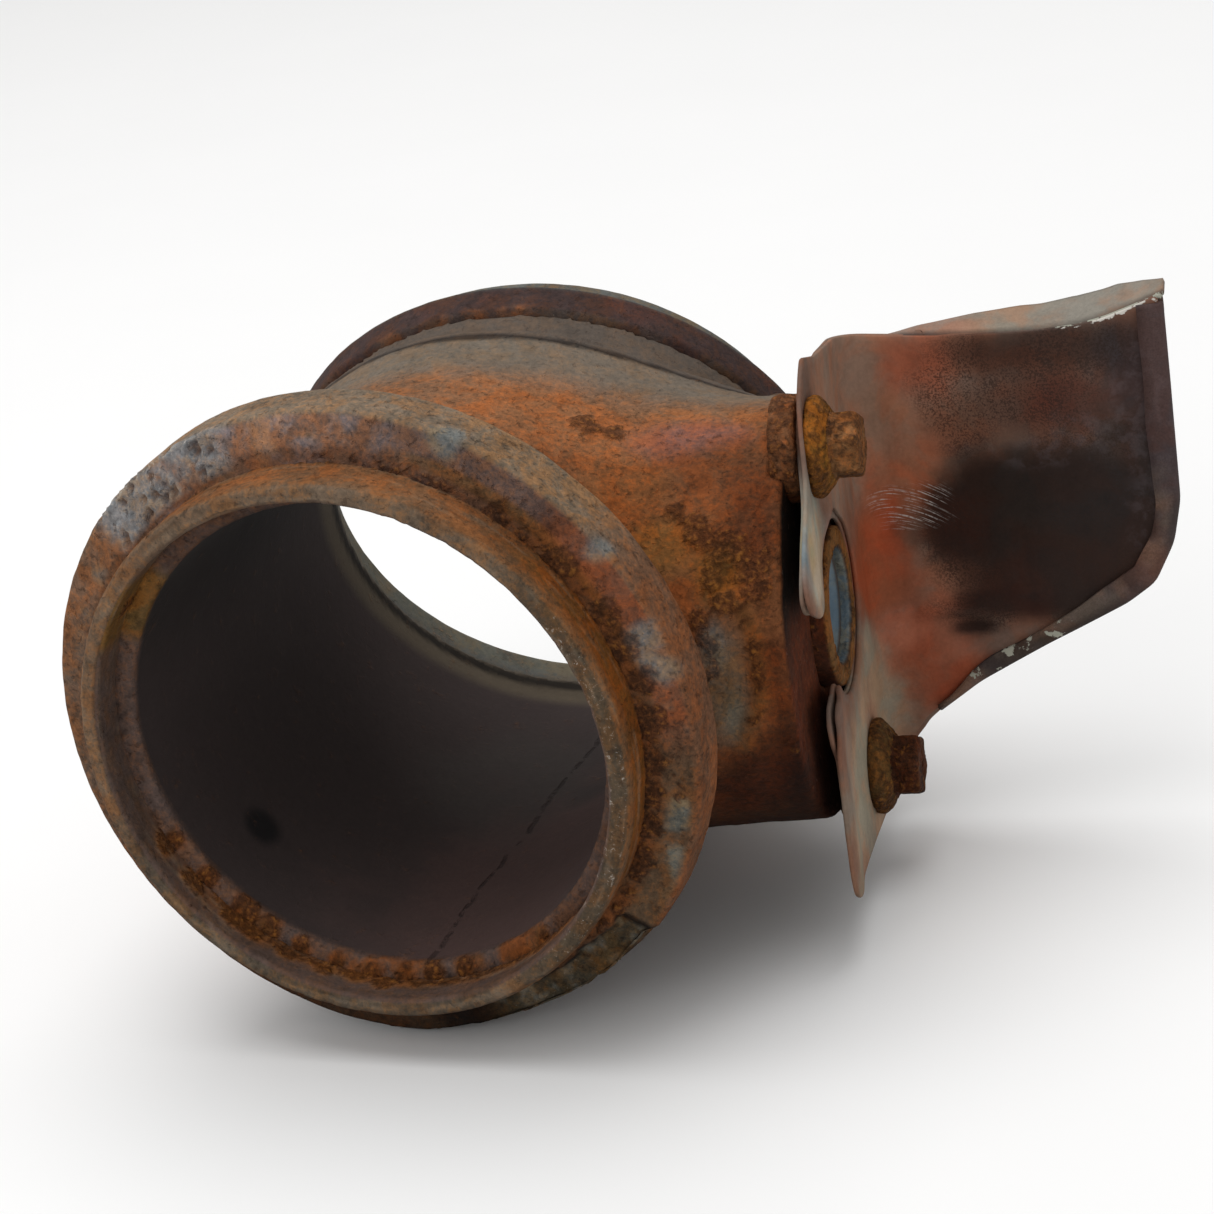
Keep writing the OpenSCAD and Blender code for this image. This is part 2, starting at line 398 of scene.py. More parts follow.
def piece(name, p, faces, tone, masks, material, nodes):
    """Makes a named mesh that stands for CAD nodes, with its colour and masks for the material.

    Painted shade makes the outside's undersides darker."""
    # painted shade: the outside's undersides are darkened by up to half
    under = smooth(-normals(p, faces)[:, 2], 0.1, 0.9) * (1 - masks.get("inner", 0 * p[:, 0]))
    tone = tone * (1 - 0.5 * under)[:, None]
    mesh = bpy.data.meshes.new(name)
    co = (p - np.array([ORIGIN_X, 0.0, 0.0])) / 1000
    mesh.from_pydata(co.tolist(), [], [f for group in faces for f in group.tolist()])
    mesh.polygons.foreach_set("use_smooth", [True] * len(mesh.polygons))
    colour = mesh.attributes.new("tone", "FLOAT_COLOR", "POINT")
    rgba = np.column_stack([np.clip(tone, 0, 1), np.ones(len(p))])
    colour.data.foreach_set("color", rgba.astype(np.float32).ravel())
    for mask, values in masks.items():
        if values.ndim == 2:
            layer = mesh.attributes.new(mask, "FLOAT_VECTOR", "POINT")
            layer.data.foreach_set("vector", values.astype(np.float32).ravel())
            continue
        layer = mesh.attributes.new(mask, "FLOAT", "POINT")
        layer.data.foreach_set("value", np.clip(values, 0, 1).astype(np.float32))
    mesh.update()
    mesh.materials.append(material)
    obj = bpy.data.objects.new(name, mesh)
    bpy.context.scene.collection.objects.link(obj)
    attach(obj, "root")
    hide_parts(*nodes)
    return obj


# ---------------------------------------------------------------- materials

class Shader:
    """A material's nodes, with places in millimetres."""

    def __init__(self, name):
        self.material = bpy.data.materials.new(name)
        self.material.use_nodes = True
        self.tree = self.material.node_tree
        self.tree.nodes.clear()
        self.place = self.scaled(self.node("ShaderNodeTexCoord").outputs["Object"], 1000)

    def node(self, kind, **settings):
        made = self.tree.nodes.new(kind)
        for key, value in settings.items():
            setattr(made, key, value)
        return made

    def link(self, socket, value):
        if isinstance(value, bpy.types.NodeSocket):
            self.tree.links.new(value, socket)
        elif hasattr(socket.default_value, "__len__") and len(socket.default_value) == 4 and len(value) == 3:
            socket.default_value = (*value, 1.0)
        else:
            socket.default_value = value

    def scaled(self, vector, by):
        made = self.node("ShaderNodeVectorMath", operation="SCALE")
        self.link(made.inputs[0], vector)
        self.link(made.inputs["Scale"], by)
        return made.outputs[0]

    def texture(self, kind, vector, scale=1.0, **settings):
        """A texture node that reads a vector."""
        made = self.node(kind)
        self.link(made.inputs["Vector"], vector)
        for name, value in {"Scale": scale, **settings}.items():
            self.link(made.inputs[name], value)
        return made

    def noise(self, size, detail=4.0, rough=0.6, distort=0.0, stretch=(1, 1, 1)):
        """Noise with lumps about size mm across, 0 to 1."""
        moved = self.node("ShaderNodeVectorMath", operation="MULTIPLY")
        self.link(moved.inputs[0], self.place)
        moved.inputs[1].default_value = tuple(1 / (2 * size * s) for s in stretch)
        settings = {"Detail": detail, "Roughness": rough, "Distortion": distort}
        return self.texture("ShaderNodeTexNoise", moved.outputs[0], **settings).outputs["Fac"]

    def cells(self, size, wobble=0.0):
        """Round grains about size mm across: 1 at each middle, 0 at the joints."""
        shake = self.texture("ShaderNodeTexNoise", self.place, 0.9 / size)
        bent = self.node("ShaderNodeVectorMath", operation="ADD")
        self.link(bent.inputs[0], self.place)
        self.link(bent.inputs[1], self.scaled(shake.outputs["Color"], wobble * size * 2))
        made = self.texture("ShaderNodeTexVoronoi", self.scaled(bent.outputs[0], 1 / size))
        return self.step(made.outputs["Distance"], 0.75, 0.1)

    def sum(self, operation, a, b=0.0, c=0.0):
        made = self.node("ShaderNodeMath", operation=operation)
        for socket, value in zip(made.inputs, (a, b, c)):
            self.link(socket, value)
        return made.outputs[0]

    plus, minus = partialmethod(sum, "ADD"), partialmethod(sum, "SUBTRACT")
    times, times_plus = partialmethod(sum, "MULTIPLY"), partialmethod(sum, "MULTIPLY_ADD")
    larger, positive = partialmethod(sum, "MAXIMUM"), partialmethod(sum, "ABSOLUTE")

    def centred(self, noise, by=1.0):
        """Noise moved to lie evenly about 0, then multiplied."""
        off = self.minus(noise, 0.5)
        return off if by == 1.0 else self.times(off, by)

    def step(self, value, low, high, start=0.0, end=1.0):
        """A smooth step of value from low to high, giving start to end."""
        made = self.node("ShaderNodeMapRange", interpolation_type="SMOOTHSTEP")
        self.link(made.inputs["Value"], value)
        for socket, number in (("From Min", low), ("From Max", high), ("To Min", start), ("To Max", end)):
            self.link(made.inputs[socket], number)
        return made.outputs[0]

    def mix(self, share, a, b, blend="MIX"):
        made = self.node("ShaderNodeMix", data_type="RGBA", blend_type=blend)
        self.link(made.inputs["Factor"], share)
        self.link([s for s in made.inputs if s.name == "A" and s.type == "RGBA"][0], a)
        self.link([s for s in made.inputs if s.name == "B" and s.type == "RGBA"][0], b)
        return [s for s in made.outputs if s.type == "RGBA"][0]

    def mask(self, name):
        return self.node("ShaderNodeAttribute", attribute_name=name).outputs["Fac"]

    def tone(self):
        return self.node("ShaderNodeAttribute", attribute_name="tone").outputs["Color"]

    def finish(self, colour, roughness, height, metal=0.0, depth=0.5, specular=0.3):
        shader = self.node("ShaderNodeBsdfPrincipled")
        self.link(shader.inputs["Base Color"], colour)
        self.link(shader.inputs["Roughness"], roughness)
        self.link(shader.inputs["Metallic"], metal)
        self.link(shader.inputs["Specular IOR Level"], specular)
        bump = self.node("ShaderNodeBump")
        bump.inputs["Strength"].default_value = 1.0
        bump.inputs["Distance"].default_value = depth / 1000
        self.link(bump.inputs["Height"], height)
        self.link(shader.inputs["Normal"], bump.outputs[0])
        self.link(self.node("ShaderNodeOutputMaterial").inputs["Surface"], shader.outputs[0])
        return self.material


def rust(name, vary=1.0, depth=0.5):
    """Rusty cast or machined metal: the piece's tone, mottled, with crust, pits and worn bright edges."""
    s = Shader(name)
    broad, middle = s.noise(8, 5, 0.62, 0.4), s.noise(2.3, 5, 0.68, 0.3)
    fine, dust = s.noise(0.65, 4, 0.72, 0.3), s.noise(0.22, 2, 0.7)
    crust, worn, inner = s.mask("crust"), s.mask("worn"), s.mask("inner")
    rough_amount = s.minus(1.0, s.times(inner, 0.82))
    light = s.centred(broad, 1.2 * vary)
    light = s.times_plus(s.centred(middle), 1.3 * vary, light)
    light = s.times_plus(s.centred(fine), 2.1 * vary, light)
    light = s.times_plus(light, rough_amount, 1.04)
    light = s.larger(light, 0.22)
    lit = s.scaled(s.tone(), s.times(light, 0.86))
    warm = s.mix(1.0, lit, (1.16, 0.92, 0.66), "MULTIPLY")
    cool = s.mix(1.0, lit, (0.90, 0.98, 1.03), "MULTIPLY")
    hue = s.times_plus(s.centred(fine), 0.6, s.noise(4, 5, 0.65, 0.5))
    colour = s.mix(s.step(hue, 0.38, 0.64), cool, warm)
    colour = s.mix(inner, colour, lit)
    dark_spots = s.times(s.step(s.noise(0.9, 4, 0.65, 0.4), 0.57, 0.70), rough_amount)
    colour = s.mix(s.times(dark_spots, 0.36), colour, (0.034, 0.013, 0.006))
    dome = s.cells(1.5, 0.5)
    grains = s.plus(s.times(middle, 0.35), s.times(fine, 0.65))
    grains = s.times_plus(s.centred(dome), 0.16, grains)
    crusty = s.mix(s.step(grains, 0.38, 0.54), (0.016, 0.005, 0.002), (0.082, 0.025, 0.007))
    crusty = s.mix(s.step(grains, 0.50, 0.66), crusty, (0.24, 0.092, 0.016))
    crusty = s.mix(0.30, crusty, lit)
    share = s.step(s.plus(crust, s.centred(middle, 1.5)), 0.08, 0.72)
    colour = s.mix(s.times(share, 0.9), colour, crusty)
    bright = s.step(s.plus(worn, s.centred(fine, 1.9)), 0.55, 0.9)
    colour = s.mix(bright, colour, (0.34, 0.31, 0.27))
    glints = s.times(s.step(dust, 0.69, 0.76), s.step(worn, 0.12, 0.5))
    colour = s.mix(s.times(glints, 0.8), colour, (0.70, 0.69, 0.66))
    roughness = s.minus(0.9, s.times(bright, 0.35))
    roughness = s.minus(roughness, s.times(s.mask("shine"), 0.3))
    specular = s.times_plus(s.larger(bright, s.mask("shine")), 0.35, 0.10)
    height = s.times(s.plus(s.times(middle, 0.9), s.times(fine, 0.75)), rough_amount)
    height = s.plus(height, s.times(share, s.times_plus(dome, 0.7, s.times(fine, 1.2))))
    height = s.minus(height, s.times(dark_spots, 0.45))
    return s, colour, roughness, height, depth, specular


def rust_material(name, **options):
    s, colour, roughness, height, depth, specular = rust(name, **options)
    return s.finish(colour, roughness, height, depth=depth, specular=specular)


def casting_material():
    """The casting's rust, with the thin core seam along the bore."""
    s, colour, roughness, height, depth, specular = rust("cast_rust", vary=0.9, depth=0.45)
    across = s.node("ShaderNodeVectorMath", operation="DOT_PRODUCT")
    s.link(across.inputs[0], s.place)
    across.inputs[1].default_value = tuple(FRONT[1])
    start = float((BEND - np.array([ORIGIN_X, 0, 0])) @ FRONT[1])
    wander = s.times(s.minus(s.noise(14, 3, 0.6, 0.3), 0.5), 9.0)
    off = s.positive(s.plus(s.minus(across.outputs["Value"], start + 5.0), wander))
    gap = s.times(s.step(off, 0.85, 0.15), s.mask("seam"))
    gap = s.times(gap, s.step(s.noise(1.6, 3, 0.6), 0.38, 0.56))
    colour = s.mix(s.times(gap, 0.5), colour, (0.016, 0.009, 0.008))
    height = s.minus(height, s.times(gap, 1.2))
    return s.finish(colour, roughness, height, depth=depth, specular=specular)


def sheet_material(name, white):
    """Heat-stained sheet metal: soft streaks, soot speckle, scratches and flaked edges."""
    s = Shader(name)
    streaks = s.noise(5, 4, 0.55, 0.3, (1, 1, 5))
    middle, fine = s.noise(1.8, 4, 0.6, 0.2), s.noise(0.45, 3, 0.7)
    light = s.times_plus(s.centred(streaks), 0.55, 1.0)
    light = s.times_plus(s.centred(middle), 0.5, light)
    light = s.times_plus(s.centred(fine), 0.35, light)
    lit = s.scaled(s.tone(), light)
    warm = s.mix(1.0, lit, (1.14, 0.94, 0.84), "MULTIPLY")
    cool = s.mix(1.0, lit, (0.92, 1.02, 1.08), "MULTIPLY")
    colour = s.mix(s.step(s.noise(7, 4, 0.6, 0.4), 0.4, 0.6), cool, warm)
    speck = s.plus(s.times(s.noise(0.24, 3, 0.75), 0.75), s.times(middle, 0.25))
    speckle = s.times(s.step(speck, 0.44, 0.58), s.mask("soot"))
    colour = s.mix(s.times(speckle, 0.8), colour, (0.022, 0.012, 0.009))
    haze = s.times(s.step(middle, 0.45, 0.66), s.mask("haze"))
    colour = s.mix(s.times(haze, 0.13), colour, (0.16, 0.135, 0.15))
    swirl = s.node("ShaderNodeAttribute", attribute_name="swirl").outputs["Vector"]
    scored = s.texture("ShaderNodeTexNoise", swirl, Detail=3.0)
    scratch = s.times(s.step(scored.outputs["Fac"], 0.50, 0.66), s.step(fine, 0.30, 0.56))
    colour = s.mix(s.times(scratch, s.mask("scratch")), colour, (0.50, 0.46, 0.43))
    ragged = s.plus(s.mask("worn"), s.centred(middle, 1.7))
    bare = s.step(ragged, 0.60, 0.68)
    colour = s.mix(bare, colour, white)
    edge = s.step(s.plus(s.mask("crust"), s.centred(middle, 0.8)), 0.45, 0.7)
    colour = s.mix(edge, colour, (0.16, 0.075, 0.038))
    roughness = s.minus(0.8, s.times(s.mask("shine"), 0.2))
    height = s.plus(s.times(middle, 0.5), s.times(fine, 0.35))
    height = s.minus(height, s.times(bare, 0.5))
    specular = s.times_plus(s.mask("shine"), 0.2, 0.10)
    return s.finish(colour, roughness, height, depth=0.22, specular=specular)


# ---------------------------------------------------------------- the casting

# Radii, and places along the axes of the front end, the rear end and the branch.
PIPE_R, BORE_R, FRONT_END = 60.0, 55.0, 112.0
FLARE, FLARE_FROM, FLARE_FULL, FLARE_TO = 3.4, 84.0, 103.0, 103.2
NECK_GROWTH, NECK_FROM, NECK_FULL, NECK_END = 7.9, -52.0, -23.0, -20.5
SHOULDER_R, SHOULDER_FROM, SHOULDER_TO = 68.3, -20.2, -8.4
GROOVE_R, GROOVE_FROM, GROOVE_TO = 67.3, -24.0, -18.0
SPIGOT_R, SPIGOT_FROM, SPIGOT_TO = 60.8, -12.0, -1.0
MOUTH_R, MOUTH_FROM, MOUTH_TO, MOUTH_SLOPE = 59.9, 100.0, 124.4, 0.25
BRANCH_R, BRANCH_TAPER, BRANCH_END, BRANCH_ROUND = 48.6, 0.8, 66.4, 1.6
CHAMBER_R, CHAMBER_END = 41.0, 59.5
BOSS_BORE_R, BOSS_BORE_FROM = 18.2, 50.0
PAD_BORE_R, PAD_BORE_FROM = 11.9, 63.2
PIPE_FILLET, BRANCH_FILLET, BORE_FILLET, EDGE_FILLET = 12, 15, 5, 0.8
GRID_PITCH = 1.35
GRID_LOW, GRID_HIGH = np.array([-87.0, -76.0, -78.0]), np.array([69.0, 81.0, 80.0])

# Rust nodules on the branch: (centre, radius).
CLUSTERS = [
    ((49, -34, 34), 4.5), ((54, -36, 31), 5.5), ((59, -39, 28), 5), ((60, -41, 24), 4), ((51, -40, 26), 3.6),
    ((53, -43, 21), 3.8), ((48, -46, 18), 3.2), ((49, -48, 13), 3), ((50, -48, 8), 3), ((21, -13, 52), 4.2),
    ((27, -13, 50), 3.5), ((44, -31, 38), 3), ((38, 22, 44), 6), ((16, 34, 50), 6), ((62, 20, 44), 5),
]
# The raised line of rust round the branch's near side.
RIDGE = [(57, -43, 21), (59.6, -45, 15), (60, -47.6, 8), (60, -48, 0), (57, -48, -5), (55, -47, -11)]
# Crust on the mouth's end: (turn, radius).
SCABS = [(-154, 2.6), (-143, 3.0), (-131, 4.2), (-125, 3.6), (-116, 2.8), (-107, 2.6), (-99, 3.0), (-91, 3.2),
         (-84, 3.4), (-76, 3.0), (-54, 2.6)]
# The outside's colours: (centre, radii, colour, strength). The last three are painted shade on the branch's
# lower side and bottom.
OUTSIDE_STROKES = [
    ((-10, 0, 62), (60, 42, 22), (0.25, 0.13, 0.072), 0.8),
    ((14, -8, 54), (30, 26, 14), (0.33, 0.13, 0.052), 0.9),
    ((44, 2, 49), (30, 17, 10), (0.27, 0.125, 0.06), 0.85),
    ((43, -13, 46), (17, 8, 7), (0.235, 0.100, 0.078), 0.9),
    ((50, -22, 42), (16, 10, 8), (0.145, 0.055, 0.024), 0.85),
    ((30, -28, 43), (13, 12, 9), (0.25, 0.088, 0.027), 0.75),
    ((60, -32, 34), (9, 12, 14), (0.115, 0.036, 0.014), 0.9),
    ((40, -38, 33), (8, 8, 8), (0.25, 0.105, 0.026), 0.7),
    ((52, -40, 26), (6, 6, 9), (0.20, 0.088, 0.018), 0.7),
    ((64, -43, 8), (8, 14, 16), (0.110, 0.031, 0.010), 0.9),
    ((52, -48, 4), (6.5, 8, 16), (0.150, 0.105, 0.070), 0.9),
    ((50, -47, 12), (3.5, 6, 6), (0.175, 0.175, 0.165), 0.7),
    ((54, -48, -4), (3.0, 6, 9), (0.155, 0.140, 0.105), 0.6),
    # painted shade: the next three strokes darken the branch's lower near side, its lower end and its bottom
    ((58, -44, -22), (24, 18, 17), (0.055, 0.016, 0.007), 0.95),
    ((66, -36, -24), (7, 20, 26), (0.020, 0.007, 0.004), 0.95),
    ((50, -20, -44), (50, 40, 20), (0.035, 0.014, 0.008), 0.95),
]


def blend_min(a, b, k):
    """The smaller of two distances, with a fillet of about k where they meet."""
    h = np.clip(0.5 + 0.5 * (b - a) / k, 0, 1)
    return b + (a - b) * h - k * h * (1 - h)


def drum(r, s, radius, low, high=np.inf):
    """Distance from a cylinder between two places along its axis."""
    return np.maximum(np.maximum(r - radius, s - high), low - s)


def casting_outside(sf, rf, sr, rr, rx, x):
    """Distance from the casting without its bores."""
    flare = np.where(sf < FLARE_TO, FLARE * smooth(sf, FLARE_FROM, FLARE_FULL), 0.0)
    front = np.maximum(rf - PIPE_R - flare, sr + 20)
    neck = np.maximum(rr - (PIPE_R + NECK_GROWTH * smooth(sr, NECK_FROM, NECK_FULL)), -sr - 62)
    neck = np.maximum(neck, sr - NECK_END)
    pipe = blend_min(front, neck, PIPE_FILLET)
    side = rx - BRANCH_R + BRANCH_TAPER * smooth(x, 40, 66)
    branch = np.maximum(-blend_min(-side, -(x - BRANCH_END), BRANCH_ROUND), -x)
    outer = np.maximum(blend_min(pipe, branch, BRANCH_FILLET), sf - FRONT_END)
    shoulder = drum(rr, sr, SHOULDER_R, SHOULDER_FROM, SHOULDER_TO)
    groove = drum(rr, sr, GROOVE_R, GROOVE_FROM, GROOVE_TO)
    outer = np.minimum(outer, np.minimum(shoulder, groove))
    outer = np.minimum(outer, drum(rr, sr, SPIGOT_R, SPIGOT_FROM, SPIGOT_TO))
    end = sf - MOUTH_TO - MOUTH_SLOPE * (rf - 57)
    return np.minimum(outer, np.maximum(np.maximum(rf - MOUTH_R, end), MOUTH_FROM - sf))


def casting_distance(p):
    """Signed distance from the casting: two pipe ends, shoulder, branch, bore, chamber and pockets."""
    sf, rf, _ = axis_parts(p, FRONT)
    sr, rr, _ = axis_parts(p, REAR)
    rx, x = np.hypot(p[:, 1], p[:, 2]), p[:, 0]
    outer = casting_outside(sf, rf, sr, rr, rx, x)
    bore = np.where((p - BEND) @ (AXIS_F - AXIS_R) > 0, rf, rr) - BORE_R
    hollow = blend_min(bore, drum(rx, x, CHAMBER_R, 0, CHAMBER_END), BORE_FILLET)
    hollow = np.minimum(hollow, drum(rx, x, BOSS_BORE_R, BOSS_BORE_FROM))
    for y, z in PADS:
        pocket = drum(np.hypot(p[:, 1] - y, p[:, 2] - z), x, PAD_BORE_R, PAD_BORE_FROM)
        hollow = np.minimum(hollow, pocket)
    return -blend_min(-outer, hollow, EDGE_FILLET)


def gradient(p, step=0.15):
    """The slope of the casting's distance in x, y and z."""
    out = np.zeros_like(p)
    for c in range(3):
        d = np.zeros(3)
        d[c] = step
        out[:, c] = (casting_distance(p + d) - casting_distance(p - d)) / (2 * step)
    return out


def casting_mesh():
    """Points and quads of the casting's smooth surface, pulled onto where its distance is zero."""
    count = np.ceil((GRID_HIGH - GRID_LOW) / GRID_PITCH).astype(int)
    field = np.empty(count)
    ys, zs = np.meshgrid(np.arange(count[1]), np.arange(count[2]), indexing="ij")
    for i in range(count[0]):
        at = np.stack([np.full(ys.size, i), ys.ravel(), zs.ravel()], 1) * GRID_PITCH + GRID_LOW
        field[i] = casting_distance(at).reshape(ys.shape)
    p, faces = surface_net(field, GRID_LOW, GRID_PITCH)
    for _ in range(3):
        g = gradient(p)
        move = casting_distance(p)[:, None] * g / np.maximum((g * g).sum(1, keepdims=True), 0.2)
        size = np.linalg.norm(move, axis=1, keepdims=True)
        p = p - move * np.minimum(1, 0.45 * GRID_PITCH / np.maximum(size, 1e-9))
    return p, faces


class CastingZones:
    """Which part of the smooth casting each point belongs to, as values 0 to 1."""

    def __init__(self, p):
        self.sf, rf, self.turn = axis_parts(p, FRONT)
        self.sr, rr, _ = axis_parts(p, REAR)
        self.rx, self.x = np.hypot(p[:, 1], p[:, 2]), p[:, 0]
        self.front_side = (p - BEND) @ (AXIS_F - AXIS_R) > 0
        bore = np.where(self.front_side, rf, rr) < 56.8
        self.inner = (bore | ((self.rx < 42.5) & (self.x > 0) & (self.x < 61))).astype(float)
        self.machined = smooth(self.sr, -21.5, -20.0) * (1 - self.inner)
        self.ring = smooth(self.sf, 121.5, 123.0) * (rf < 60.5)
        self.outer = (1 - self.inner) * (1 - self.ring)
        self.neck = smooth(self.sr, -46, -30) * self.outer


def ridge_line(p):
    """How near each point is to the raised line of rust, 0 to 1."""
    ridge = np.zeros(len(p))
    for a, b in zip(RIDGE, RIDGE[1:]):
        a, b = np.array(a, float), np.array(b, float)
        t = np.clip((p - a) @ (b - a) / ((b - a) @ (b - a)), 0, 1)
        off = np.linalg.norm(p - a - t[:, None] * (b - a), axis=1)
        ridge = np.maximum(ridge, np.exp(-((off / 2.1) ** 2)))
    return ridge


def casting_relief(p, faces, zone, ridge, scabs):
    """The casting's points with crust and casting skin raised, and the crust."""
    outer, machined = zone.outer, zone.machined
    band = smooth(np.abs(zone.x - 64), 4, 1) * smooth(fbm(p, 10, 3, 71), -0.1, 0.3)
    where = np.maximum(patches(p, CLUSTERS, 3, 0.5), 0.8 * ridge * smooth(fbm(p, 5, 3, 70), -0.3, 0.1))
    where = np.maximum(where, band * 0.5)
    where = np.maximum(where, smooth(fbm(p, 20, 4, 40), 0.24, 0.50) * 0.40) * outer * (1 - machined)
    where *= 1 - 0.7 * smooth(p[:, 2], -14, -26)
    where = np.maximum(where, 0.9 * scabs)
    crust = crusted(p, where, (2.3, 21), (1.4, 33))
    lift = 0.55 * fbm(p, 13, 4, 5) + 0.16 * fbm(p, 3.2, 3, 6)
    lift = lift * outer * (1 - 0.75 * machined) + 0.75 * crust * np.maximum(outer, scabs)
    lift = lift + 0.7 * ridge * outer + zone.inner * 0.22 * fbm(p, 17, 4, 8)
    return p + normals(p, faces) * lift[:, None], crust


def casting_inside_tone(p, zone):
    """The bore's heat colours, paler on the lower side, with painted shade on the upper side near the mouth,
    a painted dark spot for the shade in a small hole, a pale rear band and the dark joint before the rear
    ring.
    """
    turn, front_side = zone.turn, zone.front_side
    paint = Paint(p, np.array(INSIDE) * (1 + 0.5 * fbm(p, 30, 3, 61))[:, None])
    paint.lay(patches(p, [((-20, 20, -50), (26, 30, 18))], 13), (0.082, 0.086, 0.070), 0.85)
    # painted shade on the bore's upper side near the mouth, where the wall faces down
    paint.lay(around(turn, 150, 62, 40) * front_side * smooth(zone.sf, 5, 40), (0.012, 0.010, 0.0095), 0.75)
    paint.lay(around(turn, -120, 60, 35) * front_side, (0.062, 0.045, 0.043), 0.8)
    # painted shade: a dark spot standing for a small hole in the bore's lower wall
    paint.lay(patches(p, [(on_ring(FRONT, -141, BORE_R, 100.3), 5.5)], 15, 0.15), (0.010, 0.009, 0.010), 0.9)
    paint.lay(smooth(zone.sr, -13, -8), (0.120, 0.094, 0.066))
    paint.lay(patches(p, [((6, -44, -54), (50, 60, 22))], 14), (0.105, 0.062, 0.055), 0.85)
    paint.lay(smooth(np.abs(zone.sr + 3.2), 2.4, 0.8), (0.012, 0.009, 0.007), 0.9)
    return paint.tone


def casting_mouth_tone(p, zone, scabs):
    """The colours of the mouth's end, inside the front ring."""
    turn = zone.turn
    paint = Paint(p, (0.098, 0.058, 0.045))
    paint.lay(around(turn, 172, 30, 20), (0.125, 0.076, 0.060))
    paint.lay(around(turn, 145, 7, 5), (0.17, 0.085, 0.018), 0.8)
    paint.lay(smooth(turn, -175, -160) * smooth(turn, -60, -75), (0.128, 0.082, 0.068), 0.8)
    grown = 0.8 * zone.ring * around(turn, -80, 22, 10) * smooth(fbm(p, 4, 3, 75), 0.0, 0.25)
    paint.lay(np.maximum(grown, scabs), (0.19, 0.066, 0.016), 0.9)
    return paint.tone * (1 + 0.15 * fbm(p, 2.5, 3, 76))[:, None]


def branch_end_tone(p):
    """The branch's end face: near black painted shade at the top, in the gap behind the shield, and dark red
    lower down, darker towards the bottom.
    """
    # the base is painted shade for the gap behind the shield; below z 20 it turns dark red
    paint = Paint(p, GAP_SHADE)
    paint.lay(smooth(p[:, 2], 20, 4), (0.085, 0.023, 0.009))
    paint.lay(smooth(p[:, 2], -8, -26), (0.032, 0.010, 0.005))
    return paint.tone * (1 + 0.5 * fbm(p, 6, 4, 77))[:, None]


def casting_tone(p, zone, ridge, scabs):
    """The colours of the whole casting."""
    paint = Paint(p, (0.21, 0.075, 0.028))
    paint.strokes(OUTSIDE_STROKES, 50)
    paint.lay(0.6 * ridge * zone.outer, (0.17, 0.065, 0.016))
    paint.lay(zone.neck, (0.180, 0.150, 0.118), 0.9)
    paint.lay(zone.machined, (0.115, 0.088, 0.070))
    # painted shadow: a dark line where the neck steps under the shoulder
    paint.lay(smooth(np.abs(zone.sr + 20.6), 1.5, 0.5) * zone.outer, (0.03, 0.022, 0.018))
    paint.tone = np.where(zone.inner[:, None] > 0.5, casting_inside_tone(p, zone), paint.tone)
    paint.lay(zone.ring, casting_mouth_tone(p, zone, scabs))
    paint.lay(smooth(zone.x, 66.0, 66.4) * (zone.rx < 48), branch_end_tone(p))
    return paint.tone


def build_casting():
    """The casting: pipe end, neck, shoulder and branch in one piece, with its bores."""
    p, faces = casting_mesh()
    zone = CastingZones(p)
    ridge = ridge_line(p)
    scabs = zone.ring * patches(p, [(on_ring(FRONT, t, 57.2, MOUTH_TO), w) for t, w in SCABS], 17)
    p, crust = casting_relief(p, faces, zone, ridge, scabs)
    tone = casting_tone(p, zone, ridge, scabs)
    rougher = np.maximum(0.6 * zone.machined, 0.5 * zone.neck)
    turn = zone.turn
    masks = {
        "crust": crust,
        "worn": 0.35 * smooth(np.abs(zone.x - 67), 1.2, 0.3) * zone.outer,
        "inner": np.maximum(zone.inner * (1 - zone.ring), rougher),
        "shine": 0.2 * zone.inner + 0.2 * zone.machined,
        "seam": zone.inner * smooth(turn, -55, -70) * smooth(turn, -115, -100) * smooth(zone.sf, 0, 14),
    }
    piece("cast_body", p, faces, tone, masks, casting_material(), ["body_casting"])


# ---------------------------------------------------------------- flanges and sleeves

# Crust in the front ring's crease: (turn, radius from the axis).
CREASE = [
    (66, 65.5), (52, 65.5), (38, 66), (26, 66), (20, 66), (12, 67), (4, 66), (-4, 65.5), (-11, 65),
    (-18, 64.8), (-27, 65)
]
# Crust inside the lip: (turn, place along the axis, radius).
LIP_SCABS = [
    (-154, 126, 3.6), (-144, 127, 3.8), (-132, 126, 4.6), (-127, 127, 4.0), (-118, 126, 3.6),
    (-109, 126, 3.6), (-102, 125, 3.6), (-95, 126, 3.4), (-87, 125, 3.6), (-80, 125, 3.6), (-72, 126, 3.2),
    (-55, 126, 3.2), (146, 127, 3.4)
]


